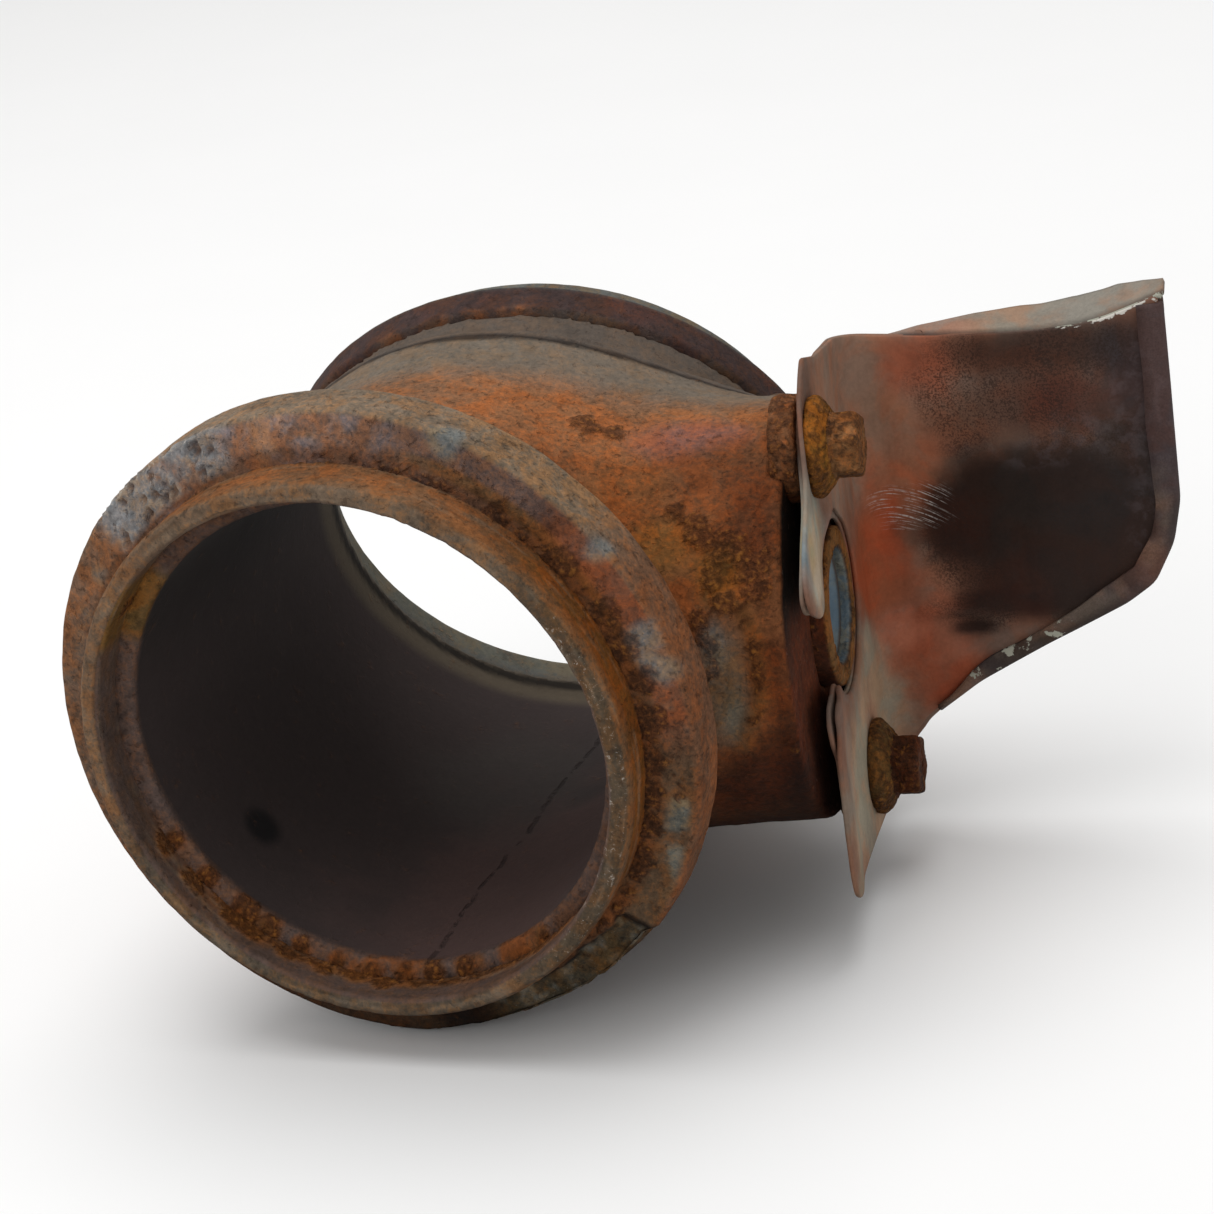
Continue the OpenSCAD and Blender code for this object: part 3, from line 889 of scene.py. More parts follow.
def build_front_ring():
    """The front flange ring, with a flaked-off patch at its lower right."""
    corners = [
        (60.2, 102.9), (64.0, 102.9), (74.2, 107.2), (75.0, 108.2), (75.0, 119.4), (74.4, 120.3),
        (63.4, 122.4), (62.2, 122.4), (62.2, 112.2), (60.2, 112.2)
    ]
    radii = [0.3, 1.0, 1.6, 1.0, 1.4, 1.0, 0.3, 0.3, 0.2, 0.2]
    p, faces, n, s, r, turn = turned(corners, radii, 1.0, 430, FRONT)
    face = smooth(s, 118.5, 120.2) * smooth(r, 62.8, 63.6)
    shown = smooth(r, 63, 64)
    root = smooth(np.abs(r - 65.2), 3.2, 0.8) * face
    crease = [on_ring(FRONT, t, q, 122) for t, q in CREASE]
    where = 0.55 * root * (0.35 + 0.65 * around(turn, 20, 55, 30))
    where = np.maximum(where, patches(p, [(c, 4.2) for c in crease], 5, 0.6))
    where = np.maximum(where, 0.6 * shown * smooth(fbm(p, 9, 4, 90), 0.20, 0.46))
    where *= 1 - 0.85 * around(turn, 96, 30, 16) * smooth(r, 65.5, 67)
    where *= 1 - 0.75 * smooth(r, 73, 74.5)
    crust = crusted(p, where, (2.5, 12), (1.5, 14))
    pit_zone = around(turn, 123, 12, 6) * face * smooth(r, 64.8, 66.5)
    d, _ = cells(p, 3.3, 44)
    pits = pit_zone * smooth(d, 0.42, 0.18)
    collars = pit_zone * np.exp(-(((d - 0.46) / 0.09) ** 2))
    lost = smooth(turn, -96, -68) * smooth(turn, -37.5, -41) * smooth(s, 109.5, 111.5)
    ragged = 0.9 * fbm(p, 6, 4, 31)
    lost = lost * smooth(r + 2.2 * ragged, 65.6, 67.2)
    scabs = np.maximum(0, fbm(p, 4.2, 4, 37))
    # painted shadow along the step edge of the flaked-off patch
    step_shadow = smooth(np.abs(lost - 0.5), 0.5, 0.15)
    lift = 0.35 * fbm(p, 15, 4, 2) + 0.16 * fbm(p, 3.0, 3, 3) + 0.7 * crust - 1.1 * pits + 0.5 * collars
    lift = (lift - 2.3 * lost + 1.8 * scabs * lost) * shown
    p = p + n * lift[:, None]
    rim = smooth(r, 73.4, 74.6)
    paint = Paint(p, (0.155, 0.078, 0.045))
    lay = paint.lay
    lay(0.5 + fbm(p, 20, 3, 8), (0.165, 0.092, 0.048), 0.7)
    lay(around(turn, 92, 34, 18) * face, (0.235, 0.135, 0.098), 0.9)
    lay(around(turn, 96, 28, 12) * smooth(fbm(p, 5, 4, 19), 0.0, 0.3) * face, (0.27, 0.225, 0.235), 0.7)
    lay(around(turn, 106, 14, 9) * smooth(fbm(p, 6, 4, 27), 0.0, 0.25) * face, (0.31, 0.175, 0.095), 0.6)
    lay(around(turn, 158, 18, 14) * face, (0.21, 0.110, 0.066), 0.9)
    lay(around(turn, 168, 20, 8) * smooth(fbm(p, 5, 4, 28), 0.02, 0.3), (0.165, 0.155, 0.135), 0.55)
    lay(around(turn, 55, 17, 12) * smooth(r, 66, 69) * face, (0.135, 0.085, 0.072), 0.85)
    lay(around(turn, 31, 12, 9) * smooth(np.abs(r - 71), 5, 1) * face, (0.078, 0.044, 0.036), 0.9)
    lay(around(turn, 44, 24, 10) * smooth(np.abs(r - 67.5), 2.0, 0.8) * face, (0.165, 0.076, 0.024), 0.8)
    lay(around(turn, 8, 26, 16) * smooth(r, 66.5, 69), (0.215, 0.078, 0.040), 0.85)
    lay(around(turn, -24, 18, 12) * smooth(r, 66, 68), (0.115, 0.068, 0.038), 0.85)
    # painted light: paler colour on the rim's top, where light falls from above
    lay(rim * around(turn, 75, 50, 30), (0.235, 0.165, 0.110), 0.9)
    lay(rim * around(turn, -2, 28, 18), (0.19, 0.083, 0.042), 0.9)
    # painted shade: the ring's lower side darkened to near black
    lay(around(turn, -100, 40, 22), (0.042, 0.020, 0.010), 0.9)
    lay(around(turn, 196, 26, 20), (0.155, 0.088, 0.056), 0.7)
    lay(root, (0.125, 0.048, 0.018), 0.7)
    lay(pit_zone * smooth(fbm(p, 5, 3, 29), -0.45, -0.1), (0.27, 0.255, 0.25), 0.85)
    lay(collars, (0.33, 0.33, 0.34), 0.6)
    lay(pits, (0.11, 0.070, 0.060), 0.9)
    cold = [(36, 74.0, 3.4), (66, 73.5, 3.5), (19, 72.5, 4.2), (14, 73.0, 4.4)]
    lay(patches(p, [(on_ring(FRONT, t, q, 120), w) for t, q, w in cold], 23, 0.9), (0.20, 0.215, 0.21), 0.7)
    scale = around(turn, -12, 17, 7) * smooth(np.abs(r - 71.0), 3.6, 1.0)
    scale = scale * smooth(fbm(p, 7, 4, 26), -0.12, 0.2) * face
    lay(scale, (0.165, 0.172, 0.150), 0.7)
    lay(lost, (0.070, 0.055, 0.036), 0.92)
    lay(lost * smooth(fbm(p, 2.6, 4, 38), -0.05, 0.3), (0.20, 0.19, 0.165), 0.6)
    lay(lost * smooth(fbm(p, 3.4, 4, 39), 0.05, 0.3), (0.10, 0.052, 0.016), 0.6)
    # painted shadow along the patch's step edge
    lay(step_shadow * face, (0.010, 0.006, 0.005), 0.95)
    worn = 0.22 * smooth(np.abs(r - 74.6), 1.0, 0.2) * around(turn, 95, 60, 30)
    worn = worn + 0.34 * pit_zone + 0.25 * lost
    shine = 0.4 * pit_zone + 0.3 * around(turn, 96, 26, 12)
    masks = {"crust": crust * (1 - 0.7 * lost), "worn": worn, "inner": 0 * r, "shine": shine}
    material = rust_material("ring_rust", depth=0.55)
    piece("front_ring", p, faces, paint.tone, masks, material, ["front_flange_ring"])


def build_front_sleeve():
    """The thin lip that stands out of the front ring."""
    corners = [
        (59.3, 112.4), (61.9, 112.4), (61.9, 122.0), (63.7, 122.0), (63.6, 132.3), (62.7, 133.7),
        (60.0, 133.7), (59.1, 133.0), (59.0, 124.6)
    ]
    radii = [0.2, 0.2, 0.2, 0.2, 0.8, 0.6, 0.5, 0.6, 0.2]
    p, faces, n, s, r, turn = turned(corners, radii, 0.7, 460, FRONT)
    lip = smooth(s, 132.4, 133.2)
    wall_out = smooth(r, 62.6, 63.2) * smooth(s, 121, 122)
    wall_in = smooth(r, 60.0, 59.5)
    scabs = patches(p, [(on_ring(FRONT, a, 59.2, h), w) for a, h, w in LIP_SCABS], 7)
    where = np.maximum(0.95 * scabs * wall_in, 0.5 * wall_out * smooth(s, 126, 122.5))
    where = np.maximum(where, 0.75 * wall_in * around(turn, -92, 42, 12) * smooth(s, 129.0, 127.0))
    where = np.maximum(where, 0.4 * (wall_out + wall_in) * smooth(fbm(p, 9, 3, 61), 0.14, 0.4))
    where *= smooth(s, 123.0, 125.0) * wall_in + (1 - wall_in)
    crust = crusted(p, where, (1.9, 52), (1.2, 54))
    chips = lip * smooth(fbm(p, 3.0, 3, 77), 0.10, 0.4)
    lift = 0.12 * fbm(p, 12, 3, 9) + 0.10 * fbm(p, 2.2, 3, 10) + 0.45 * crust - 0.35 * chips
    p = p + n * lift[:, None]
    paint = Paint(p, (0.19, 0.112, 0.066))
    lay = paint.lay
    streaks = np.stack([turn * 0.25, r * 2.2, s * 2.2], 1)
    lay(wall_out, (0.215, 0.094, 0.040), 0.95)
    lay(wall_out * around(turn, -16, 50, 25), (0.165, 0.055, 0.008), 0.9)
    lay(wall_out * smooth(s, 128, 131.5), (0.185, 0.105, 0.058), 0.6)
    lay(lip, (0.175, 0.115, 0.075), 0.9)
    lay(lip * around(turn, 165, 45, 25), (0.175, 0.104, 0.062), 0.8)
    lay(lip * smooth(turn, -172, -150) * smooth(turn, -60, -80), (0.088, 0.064, 0.044), 0.85)
    lay(lip * around(turn, -8, 40, 20), (0.082, 0.055, 0.033), 0.9)
    lay(wall_in, (0.118, 0.078, 0.064), 0.95)
    lay(wall_in * around(turn, 110, 34, 14), (0.145, 0.092, 0.060), 0.85)
    lay(wall_in * around(turn, -95, 50, 20), (0.122, 0.076, 0.060), 0.8)
    lay(wall_in * around(turn, 146, 7, 5), (0.17, 0.085, 0.020), 0.9)
    lay(where * wall_in * smooth(s, 130.5, 129), (0.28, 0.100, 0.018), 0.85)
    lay(smooth(fbm(streaks, 3.0, 3, 78), 0.05, 0.4), (0.11, 0.062, 0.036), 0.45)
    lay(smooth(fbm(streaks, 3.0, 3, 79), 0.10, 0.4), (0.24, 0.17, 0.115), 0.35)
    worn = lip * (0.08 + 0.34 * around(turn, -8, 34, 22)) + 0.04 * wall_out
    masks = {"crust": crust, "worn": worn, "inner": 0.4 * wall_in, "shine": 0.15 * lip}
    material = rust_material("lip_rust", vary=0.85, depth=0.4)
    piece("front_lip", p, faces, paint.tone, masks, material, ["front_sleeve"])


def build_rear_ring():
    """The rear flange ring on the shoulder."""
    corners = [
        (61.2, -8.0), (67.6, -8.4), (69.3, -7.2), (69.5, -6.0), (69.5, 0.9), (68.8, 1.5), (63.6, 4.2),
        (62.2, 4.2), (62.2, -0.6), (61.2, -0.6)
    ]
    radii = [0.3, 0.8, 0.8, 0.8, 0.6, 0.8, 0.3, 0.3, 0.2, 0.2]
    p, faces, n, s, r, turn = turned(corners, radii, 1.0, 400, REAR)
    shown = smooth(r, 62.5, 63.5)
    rim = smooth(r, 68.4, 69.2)
    where = 0.40 * shown * smooth(fbm(p, 12, 4, 15), 0.16, 0.45) * smooth(s, -7.5, -5.5)
    crust = lumps(p, 2.4, where, 62)
    p = p + n * ((0.2 * fbm(p, 12, 4, 11) + 0.08 * fbm(p, 3, 3, 12) + 0.25 * crust) * shown)[:, None]
    paint = Paint(p, (0.062, 0.034, 0.030))
    lay = paint.lay
    lay(rim * smooth(fbm(p, 10, 3, 16), -0.1, 0.3), (0.085, 0.036, 0.028), 0.8)
    edge = smooth(s, -6.2, -7.8) * smooth(fbm(p, 9, 4, 18), -0.4, 0.3)
    lay(edge, (0.120, 0.090, 0.072), 0.6)
    spot = around(turn, 97, 12, 9) * smooth(s, -5.0, -7.0)
    lay(spot * smooth(fbm(p, 4, 4, 24), -0.1, 0.25), (0.17, 0.075, 0.040), 0.7)
    lay(smooth(s, 0.0, 1.0), (0.100, 0.097, 0.090), 0.95)
    masks = {"crust": crust * 0.8, "worn": 0.3 * edge, "inner": 0 * r, "shine": 0.25 * rim}
    material = rust_material("rear_rust", vary=0.7, depth=0.35)
    piece("rear_ring", p, faces, paint.tone, masks, material, ["rear_flange_ring"])


def build_rear_sleeve():
    """The bright lip that stands out of the rear ring."""
    corners = [
        (61.0, -0.8), (61.9, -0.8), (61.9, 3.8), (63.6, 3.8), (63.5, 10.2), (62.6, 11.2), (60.9, 11.2),
        (60.3, 10.4), (60.3, -0.8)
    ]
    radii = [0.1, 0.2, 0.2, 0.2, 0.7, 0.5, 0.4, 0.5, 0.2]
    p, faces, n, s, r, _ = turned(corners, radii, 0.9, 400, REAR)
    p = p + n * (0.10 * fbm(p, 10, 3, 13) + 0.05 * fbm(p, 2, 3, 14))[:, None]
    wall_in = smooth(r, 61.2, 60.6)
    paint = Paint(p, (0.135, 0.128, 0.112))
    paint.lay(wall_in * smooth(s, 5.0, 2.5), (0.075, 0.054, 0.038))
    paint.lay(wall_in * smooth(s, 5.0, 7.0), (0.155, 0.145, 0.112), 0.9)
    crust = 0.3 * smooth(fbm(p, 6, 3, 17), 0.1, 0.4)
    masks = {"crust": crust, "worn": 0.2 * smooth(s, 10, 11), "inner": 0.4 * wall_in, "shine": 0.5 + 0 * r}
    material = rust_material("rear_lip_rust", vary=0.6, depth=0.25)
    piece("rear_lip", p, faces, paint.tone, masks, material, ["rear_sleeve"])


# ---------------------------------------------------------------- boss and fasteners

def build_boss():
    """The round boss in the middle of the branch's end."""
    corners = [
        (14.0, 50.6), (18.2, 50.6), (18.2, 69.6), (17.2, 70.4), (13.6, 70.4), (12.6, 69.6), (12.7, 67.6),
        (14.0, 67.4)
    ]
    p, faces, n, s, r, _ = turned(corners, [0.2, 0.3, 0.9, 0.6, 0.6, 0.6, 0.3, 0.2], 0.7, 170, BRANCH)
    face = smooth(s, 69.2, 70.1)
    where = 0.55 * face + 0.5 * smooth(r, 17.5, 18.0)
    where = where * (0.6 + 0.6 * smooth(fbm(p, 6, 3, 20), -0.1, 0.3))
    crust = lumps(p, 1.9, where, 72)
    p = p + n * (0.16 * fbm(p, 5, 3, 19) + 0.32 * crust)[:, None]
    paint = Paint(p, (0.165, 0.075, 0.024))
    paint.lay(1 - face, (0.075, 0.024, 0.012))
    # painted sky reflection: blue-grey on the boss's innermost edge
    paint.lay(smooth(r, 13.6, 12.9), (0.13, 0.165, 0.19), 0.95)
    # painted shadow: a dark line round the boss's inner edge, beside the bush
    paint.lay(smooth(r, 14.0, 13.4) * smooth(r, 12.8, 13.3), (0.05, 0.03, 0.02), 0.8)
    masks = {"crust": crust * 0.7 * smooth(r, 12.9, 13.6), "worn": 0.1 * face, "inner": 0 * r, "shine": 0 * r}
    material = rust_material("boss_rust", depth=0.35)
    piece("boss_ring", p, faces, paint.tone, masks, material, ["centre_boss"])


def build_bush():
    """The bush in the boss's bore, its blue-grey a painted sky reflection on clean steel."""
    corners = [(12.4, 50.8), (13.9, 50.8), (13.9, 67.4), (13.4, 67.9), (12.5, 67.9), (12.4, 67.4)]
    p, faces, n, s, r, _ = turned(corners, [0.2, 0.2, 0.2, 0.3, 0.3, 0.2], 0.7, 150, BRANCH)
    p = p + n * (0.05 * fbm(p, 4, 3, 25))[:, None]
    # painted sky reflection: the bush's blue-grey base colour
    paint = Paint(p, (0.21, 0.29, 0.36))
    paint.lay(smooth(s, 67.0, 67.8), (0.06, 0.05, 0.045))
    crust = 0.25 * smooth(fbm(p, 5, 3, 26), 0.1, 0.4)
    masks = {"crust": crust, "worn": 0 * r, "inner": 0.5 + 0 * r, "shine": 0.7 + 0 * r}
    material = rust_material("bush_sky_reflection", vary=0.5, depth=0.15)
    piece("bush", p, faces, paint.tone, masks, material, ["boss_bush"])


HEX_ACROSS, HEX_FROM = 13.2, 76.2


def fastener_pair(name, corners, radii, step, turns, strength, tones, seed, nodes, shape=None):
    """Two like turned pieces, one at each pad, joined in one mesh with their own rust."""
    points, quads, tone, crusts = [], [], [], []
    for k, pad in enumerate(PADS):
        p, faces = lathe(corners, radii, step, turns, BRANCH, pad, shape)
        n = normals(p, faces)
        where = 0.6 + 0.6 * smooth(fbm(p, 4, 3, seed + k), -0.2, 0.25)
        crust = crusted(p, where, (1.9, seed + 3 + k), (1.2, seed + 7 + k), 0.7)
        lift = strength * (0.8 * crust + 0.55 * fbm(p, 3.5, 3, seed + 11 + k))
        quads.append(faces[0] + sum(len(q) for q in points))
        points.append(p + n * lift[:, None])
        tone.append(np.array(tones[k]) * (1 + 0.6 * fbm(p, 4, 3, seed + 13))[:, None])
        crusts.append(crust * (0.55 + 0.45 * smooth(fbm(p, 3, 2, seed + 5), -0.2, 0.3)))
    p, crust = np.concatenate(points), np.concatenate(crusts)
    masks = {"crust": crust, "worn": 0 * crust, "inner": 0 * crust, "shine": 0.12 * crust}
    piece(name, p, [np.concatenate(quads)], np.concatenate(tone), masks,
          rust_material(name + "_rust", vary=1.1, depth=0.45), nodes)


def hexed(across):
    """Turns a round of any radius into a softly cornered hexagon of the same size across its flats."""
    def shape(turn, r, s):
        off = (turn + math.pi / 6) % (math.pi / 3) - math.pi / 6
        flat = across / 2 / np.cos(off)
        return np.where(s > HEX_FROM, np.minimum(r, flat * (r / (across / math.sqrt(3)))), r)
    return shape


def build_fasteners():
    """The pad nuts, collar washers and hexagon bolts, two of each."""
    corners = [(2.0, 63.6), (11.4, 63.6), (11.6, 64.2), (11.6, 68.4), (11.0, 69.0), (2.0, 69.0)]
    tones = [(0.20, 0.080, 0.034), (0.05, 0.02, 0.01)]
    fastener_pair("pads", corners, [0.2, 0.3, 0.5, 0.8, 0.6, 0.2], 0.7, 110, 0.45, tones, 100, ["pad_nuts"])
    corners = [(4.5, 71.1), (10.6, 71.1), (11.1, 72.0), (10.9, 73.3), (8.4, 75.3), (7.4, 75.9), (4.5, 75.7)]
    radii = [0.2, 0.5, 0.9, 1.2, 1.4, 0.5, 0.2]
    tones = [(0.245, 0.100, 0.018), (0.13, 0.064, 0.020)]
    fastener_pair("washers", corners, radii, 0.6, 110, 0.45, tones, 130, ["collar_washers"])
    corners = [
        (0.8, 64.0), (4.0, 64.0), (4.0, 75.4), (7.5, 75.6), (7.5, 77.0), (7.5, 81.4), (6.6, 82.0),
        (0.8, 82.1)
    ]
    radii = [0.1, 0.3, 0.3, 0.3, 0.2, 0.9, 0.8, 0.1]
    tones = [(0.215, 0.094, 0.036), (0.070, 0.024, 0.011)]
    fastener_pair("bolts", corners, radii, 0.55, 132, 0.32, tones, 160, ["hex_bolts"], hexed(HEX_ACROSS))


# ---------------------------------------------------------------- the heat shield

PLATE_X, WALL_Y, BEND_R, BEND_Y = 71.0, 38.0, 8.0, 30.0
ARC = BEND_R * math.pi / 2
HOLE_R = 4.6


def unrolled(x):
    """Distance along the unrolled sheet of a wall point at x."""
    x = np.asarray(x, float)
    angle = np.arccos(np.clip((PLATE_X + BEND_R - x) / BEND_R, 0, 1))
    return np.where(x < PLATE_X + BEND_R, BEND_Y + BEND_R * angle, BEND_Y + ARC + x - PLATE_X - BEND_R)


def wall_points(points):
    """Wall points (x, z) on the unrolled sheet."""
    return [(float(unrolled(x)), z) for x, z in points]


def arc_points(radius, start, end, count):
    """Points on a circle round the branch's axis, from one angle to another."""
    angles = np.radians(np.linspace(start, end, count))
    return [(radius * math.cos(a), radius * math.sin(a)) for a in angles]


def on_flat(flat):
    """The unrolled sheet's points with a third measure of 0."""
    return np.column_stack([flat, 0 * flat[:, 0]])


def flat_patches(p, spots, seed, rough=0.5):
    """Soft round spots of (along, up, half length, half height) on the unrolled sheet."""
    return patches(p, [((a, z, 0), (w, h, 1)) for a, z, w, h in spots], seed, rough)


def pad_holes():
    """The skins' holes round the two bolts."""
    turns = np.linspace(0, 2 * math.pi, 20, endpoint=False)
    return [np.array([(y + HOLE_R * math.cos(t), z + HOLE_R * math.sin(t)) for t in turns]) for y, z in PADS]


# Outlines of the skins: (x, z) on the wall and (y, z) on the plate.
TOP_EDGE = [
    (78.0, 49.8), (92.0, 48.6), (107.6, 48.0), (116.0, 47.9), (124.7, 48.4), (131.0, 49.8), (137.4, 51.9)
]
LOW_EDGE = [
    (137.1, -14.8), (130.6, -19.5), (121.0, -24.0), (111.8, -28.6), (102.0, -33.4), (93.7, -38.0),
    (86.0, -43.4), (80.3, -48.2), (76.3, -53.8)
]
BOTTOM = [
    (30.0, -62.2), (17.6, -62.1), (4.0, -60.6), (-9.9, -59.6), (-24.0, -59.2), (-30.7, -58.2),
    (-33.8, -55.8), (-35.2, -50.7), (-35.0, -43.3), (-34.4, -36.0), (-33.6, -29.2), (-32.0, -18.5),
    (-33.2, -12.6)
]
LEFT = [
    (-36.5, 13.2), (-42.2, 16.4), (-44.2, 20.4), (-43.6, 24.4), (-40.7, 28.8), (-35.0, 33.6), (-30.0, 38.1),
    (-26.8, 42.5), (-23.8, 47.1), (-19.8, 52.0), (-16.5, 55.7), (-12.0, 59.6), (-8.0, 62.0), (-2.0, 60.0),
    (5.3, 57.6), (14.4, 55.9), (30.0, 52.8)
]
FRONT_END_EDGE = [(143.6, 54.2), (143.4, 34.0), (143.2, 5.2), (141.0, -4.8), (136.2, -13.8)]
SLOT_TOP = [
    (5.6, 21.6), (0.0, 23.6), (-6.0, 24.0), (-11.3, 22.8), (-14.4, 21.0), (-17.4, 18.6), (-20.8, 15.6),
    (-24.6, 12.9), (-28.8, 11.6), (-32.8, 11.8)
]
BACK_LEFT = [
    (-33.0, 12.6), (-39.8, 15.6), (-42.6, 19.6), (-41.2, 23.4), (-36.0, 28.8), (-30.0, 33.6), (-25.0, 38.1),
    (-21.8, 42.5), (-18.8, 47.1), (-14.8, 52.0), (-11.0, 54.6), (-4.0, 56.8), (3.0, 56.2), (9.0, 55.6),
    (14.4, 55.4), (30.0, 52.6)
]
BACK_BOTTOM = [
    (30.0, -61.2), (17.6, -61.0), (4.0, -59.2), (-9.9, -58.0), (-20.0, -57.2), (-26.0, -54.8),
    (-29.5, -48.7), (-30.0, -43.3), (-29.0, -36.0), (-28.6, -25.2), (-32.6, -19.2), (-34.0, -14.0)
]


def sheet_place(flat, depth, bulge):
    """Puts unrolled points in space: the plate, the bend and the wall, with a bulge towards the seen side."""
    a, z = flat[:, 0], flat[:, 1]
    off = depth - bulge
    angle = np.clip((a - BEND_Y) / BEND_R, 0, math.pi / 2)
    x = np.where(a < BEND_Y, PLATE_X - off, PLATE_X + BEND_R - (BEND_R + off) * np.cos(angle))
    x = np.where(a > BEND_Y + ARC, PLATE_X + BEND_R + a - BEND_Y - ARC, x)
    y = np.where(a < BEND_Y, a, BEND_Y + (BEND_R + off) * np.sin(angle))
    return np.stack([x, y, z], 1)


def dents(flat):
    """The knocks and creases of the whole shield, towards the seen side."""
    a, z = flat[:, 0], flat[:, 1]
    p = on_flat(flat)
    out = 0.55 * fbm(p, 42, 3, 301) + 0.12 * fbm(p, 12, 3, 302)
    u = (a - 55) / 10
    v = z + 23.2 + 0.06 * (a - 55)
    out -= 2.6 * np.exp(-u * u) * smooth(v, 3.5, -0.6) * smooth(v, -9, -1)
    out += 1.1 * np.exp(-(((a - 46) / 7) ** 2) - ((z + 30) / 8) ** 2)
    out -= 0.9 * np.exp(-(((a - 43) / 2.2) ** 2) - ((z + 24) / 5) ** 2)
    ridge = 1.2 * np.exp(-(((a - 66) / 22) ** 2) - ((z - 24) / 9) ** 2)
    out += ridge - 0.8 * np.exp(-(((a - 66) / 24) ** 2) - ((z - 8) / 9) ** 2)
    out *= smooth(a, 10, 40) * smooth(a, 109, 100) * 0.9 + 0.1
    out += 1.3 * smooth(a, -16, -30)
    return out


# The shield's heat colours, two of them painted shadow along the dent: (along, up, half length, half height,
# colour, strength).
SHIELD_STROKES = [
    (40, 30, 20, 60, (0.27, 0.150, 0.100), 1.0),
    (10, 40, 28, 26, (0.26, 0.155, 0.105), 0.9),
    (40, 27, 10, 12, (0.255, 0.130, 0.080), 0.8),
    (52, 42, 9, 12, (0.28, 0.100, 0.058), 0.95),
    (46, 12, 15, 13, (0.30, 0.105, 0.052), 0.9),
    (30, -6, 18, 22, (0.275, 0.070, 0.028), 0.95),
    (38, 2, 9, 12, (0.30, 0.070, 0.028), 0.9),
    (42, -26, 16, 12, (0.29, 0.088, 0.045), 0.9),
    (46, -38, 13, 11, (0.26, 0.072, 0.036), 0.95),
    (40, -23, 7, 6, (0.33, 0.15, 0.10), 0.6),
    (58, -35, 12, 5, (0.22, 0.066, 0.034), 0.8),
    (66, 28, 17, 8, (0.135, 0.062, 0.038), 0.9),
    (76, 32, 13, 8, (0.095, 0.044, 0.029), 0.85),
    (87, 30, 13, 8, (0.078, 0.027, 0.017), 0.85),
    (82, 44, 26, 8, (0.044, 0.020, 0.013), 0.9),
    (100, 42, 9, 12, (0.030, 0.020, 0.019), 0.9),
    (104, 28, 10, 18, (0.034, 0.025, 0.027), 0.9),
    (82, 3, 32, 20, (0.018, 0.012, 0.010), 1.0),
    (66, 4, 17, 17, (0.020, 0.012, 0.009), 1.0),
    (57, 1, 8, 11, (0.030, 0.013, 0.009), 0.85),
    (98, 2, 18, 24, (0.022, 0.014, 0.012), 0.95),
    (82, -12, 28, 12, (0.024, 0.013, 0.010), 0.95),
    (68, -13, 14, 8, (0.030, 0.014, 0.010), 0.85),
    # painted shadow: the next two strokes, along the crease over the dent and under the dent's sharp upper
    # edge
    (66, -19, 16, 4.5, (0.026, 0.012, 0.009), 0.95),
    (58, -25, 7, 2.2, (0.020, 0.009, 0.007), 0.9),
    (0, -42, 40, 24, (0.31, 0.245, 0.170), 0.95),
    (27, -36, 9, 15, (0.30, 0.240, 0.165), 0.9),
    (34, -42, 6, 10, (0.28, 0.215, 0.150), 0.7),
    (22, -20, 6, 5, (0.30, 0.235, 0.165), 0.7),
    (14, -38, 9, 7, (0.33, 0.175, 0.115), 0.5),
    (-30, 24, 14, 16, (0.33, 0.31, 0.24), 0.95),
    (-41, 33, 6, 12, (0.19, 0.205, 0.205), 0.9),
    (-34, 27, 4, 6, (0.33, 0.27, 0.15), 0.7),
    (-34, 19, 7, 4, (0.35, 0.34, 0.28), 0.9),
    (-9, 16, 8, 9, (0.26, 0.150, 0.115), 0.9),
    (-20, -30, 7, 14, (0.33, 0.20, 0.135), 0.6),
    (-26, -56, 8, 6, (0.25, 0.185, 0.120), 0.6),
]


def shield_tone(flat, seed):
    """The heat colours of the shield over its unrolled face, with painted shadow along the dent."""
    paint = Paint(on_flat(flat), (0.16, 0.092, 0.066))
    strokes = [((a, z, 0), (w, h, 1), colour, share) for a, z, w, h, colour, share in SHIELD_STROKES]
    paint.strokes(strokes, seed)
    return paint.tone


def shield_masks(flat, on_edge, seed):
    """The masks of soot, scratches, bare patches and dusty haze over the unrolled shield."""
    a, z = flat[:, 0], flat[:, 1]
    p = on_flat(flat)
    soot = 0.9 * flat_patches(p, [(74, 35, 22, 11), (62, 33, 13, 14), (90, 42, 20, 8)], seed)
    soot = np.maximum(soot, 0.9 * flat_patches(p, [(60, -2, 12, 16), (60, -20, 12, 6)], seed + 1))
    soot = np.maximum(soot, 0.8 * smooth(a, 70, 80) * smooth(z, 30, 22))
    spots = [(44, 9.5, 8.5, 3.4), (47, 4.2, 8.0, 2.6), (50, 10, 5, 3.4)]
    scratch = 0.85 * flat_patches(p, spots, seed + 2, 0.25)
    bow = z + 0.022 * (a - 38) ** 2
    swirl = np.stack([a / 8, bow / 0.42, 0 * a], 1)
    spots = [(104, 30, 13, 20), (92, 24, 14, 6), (80, 20, 18, 4), (104, 0, 8, 20)]
    haze = flat_patches(p, spots, seed + 3)
    top = smooth(a, 76, 90) * on_edge * smooth(z, 46.5, 47.6)
    worn = 0.78 * top + 0.12 * on_edge * (a < 30)
    masks = {"soot": soot, "scratch": scratch, "haze": haze, "swirl": swirl, "worn": worn}
    return {**masks, "crust": 0.2 * on_edge, "shine": 0.3 * smooth(a, 60, 90)}


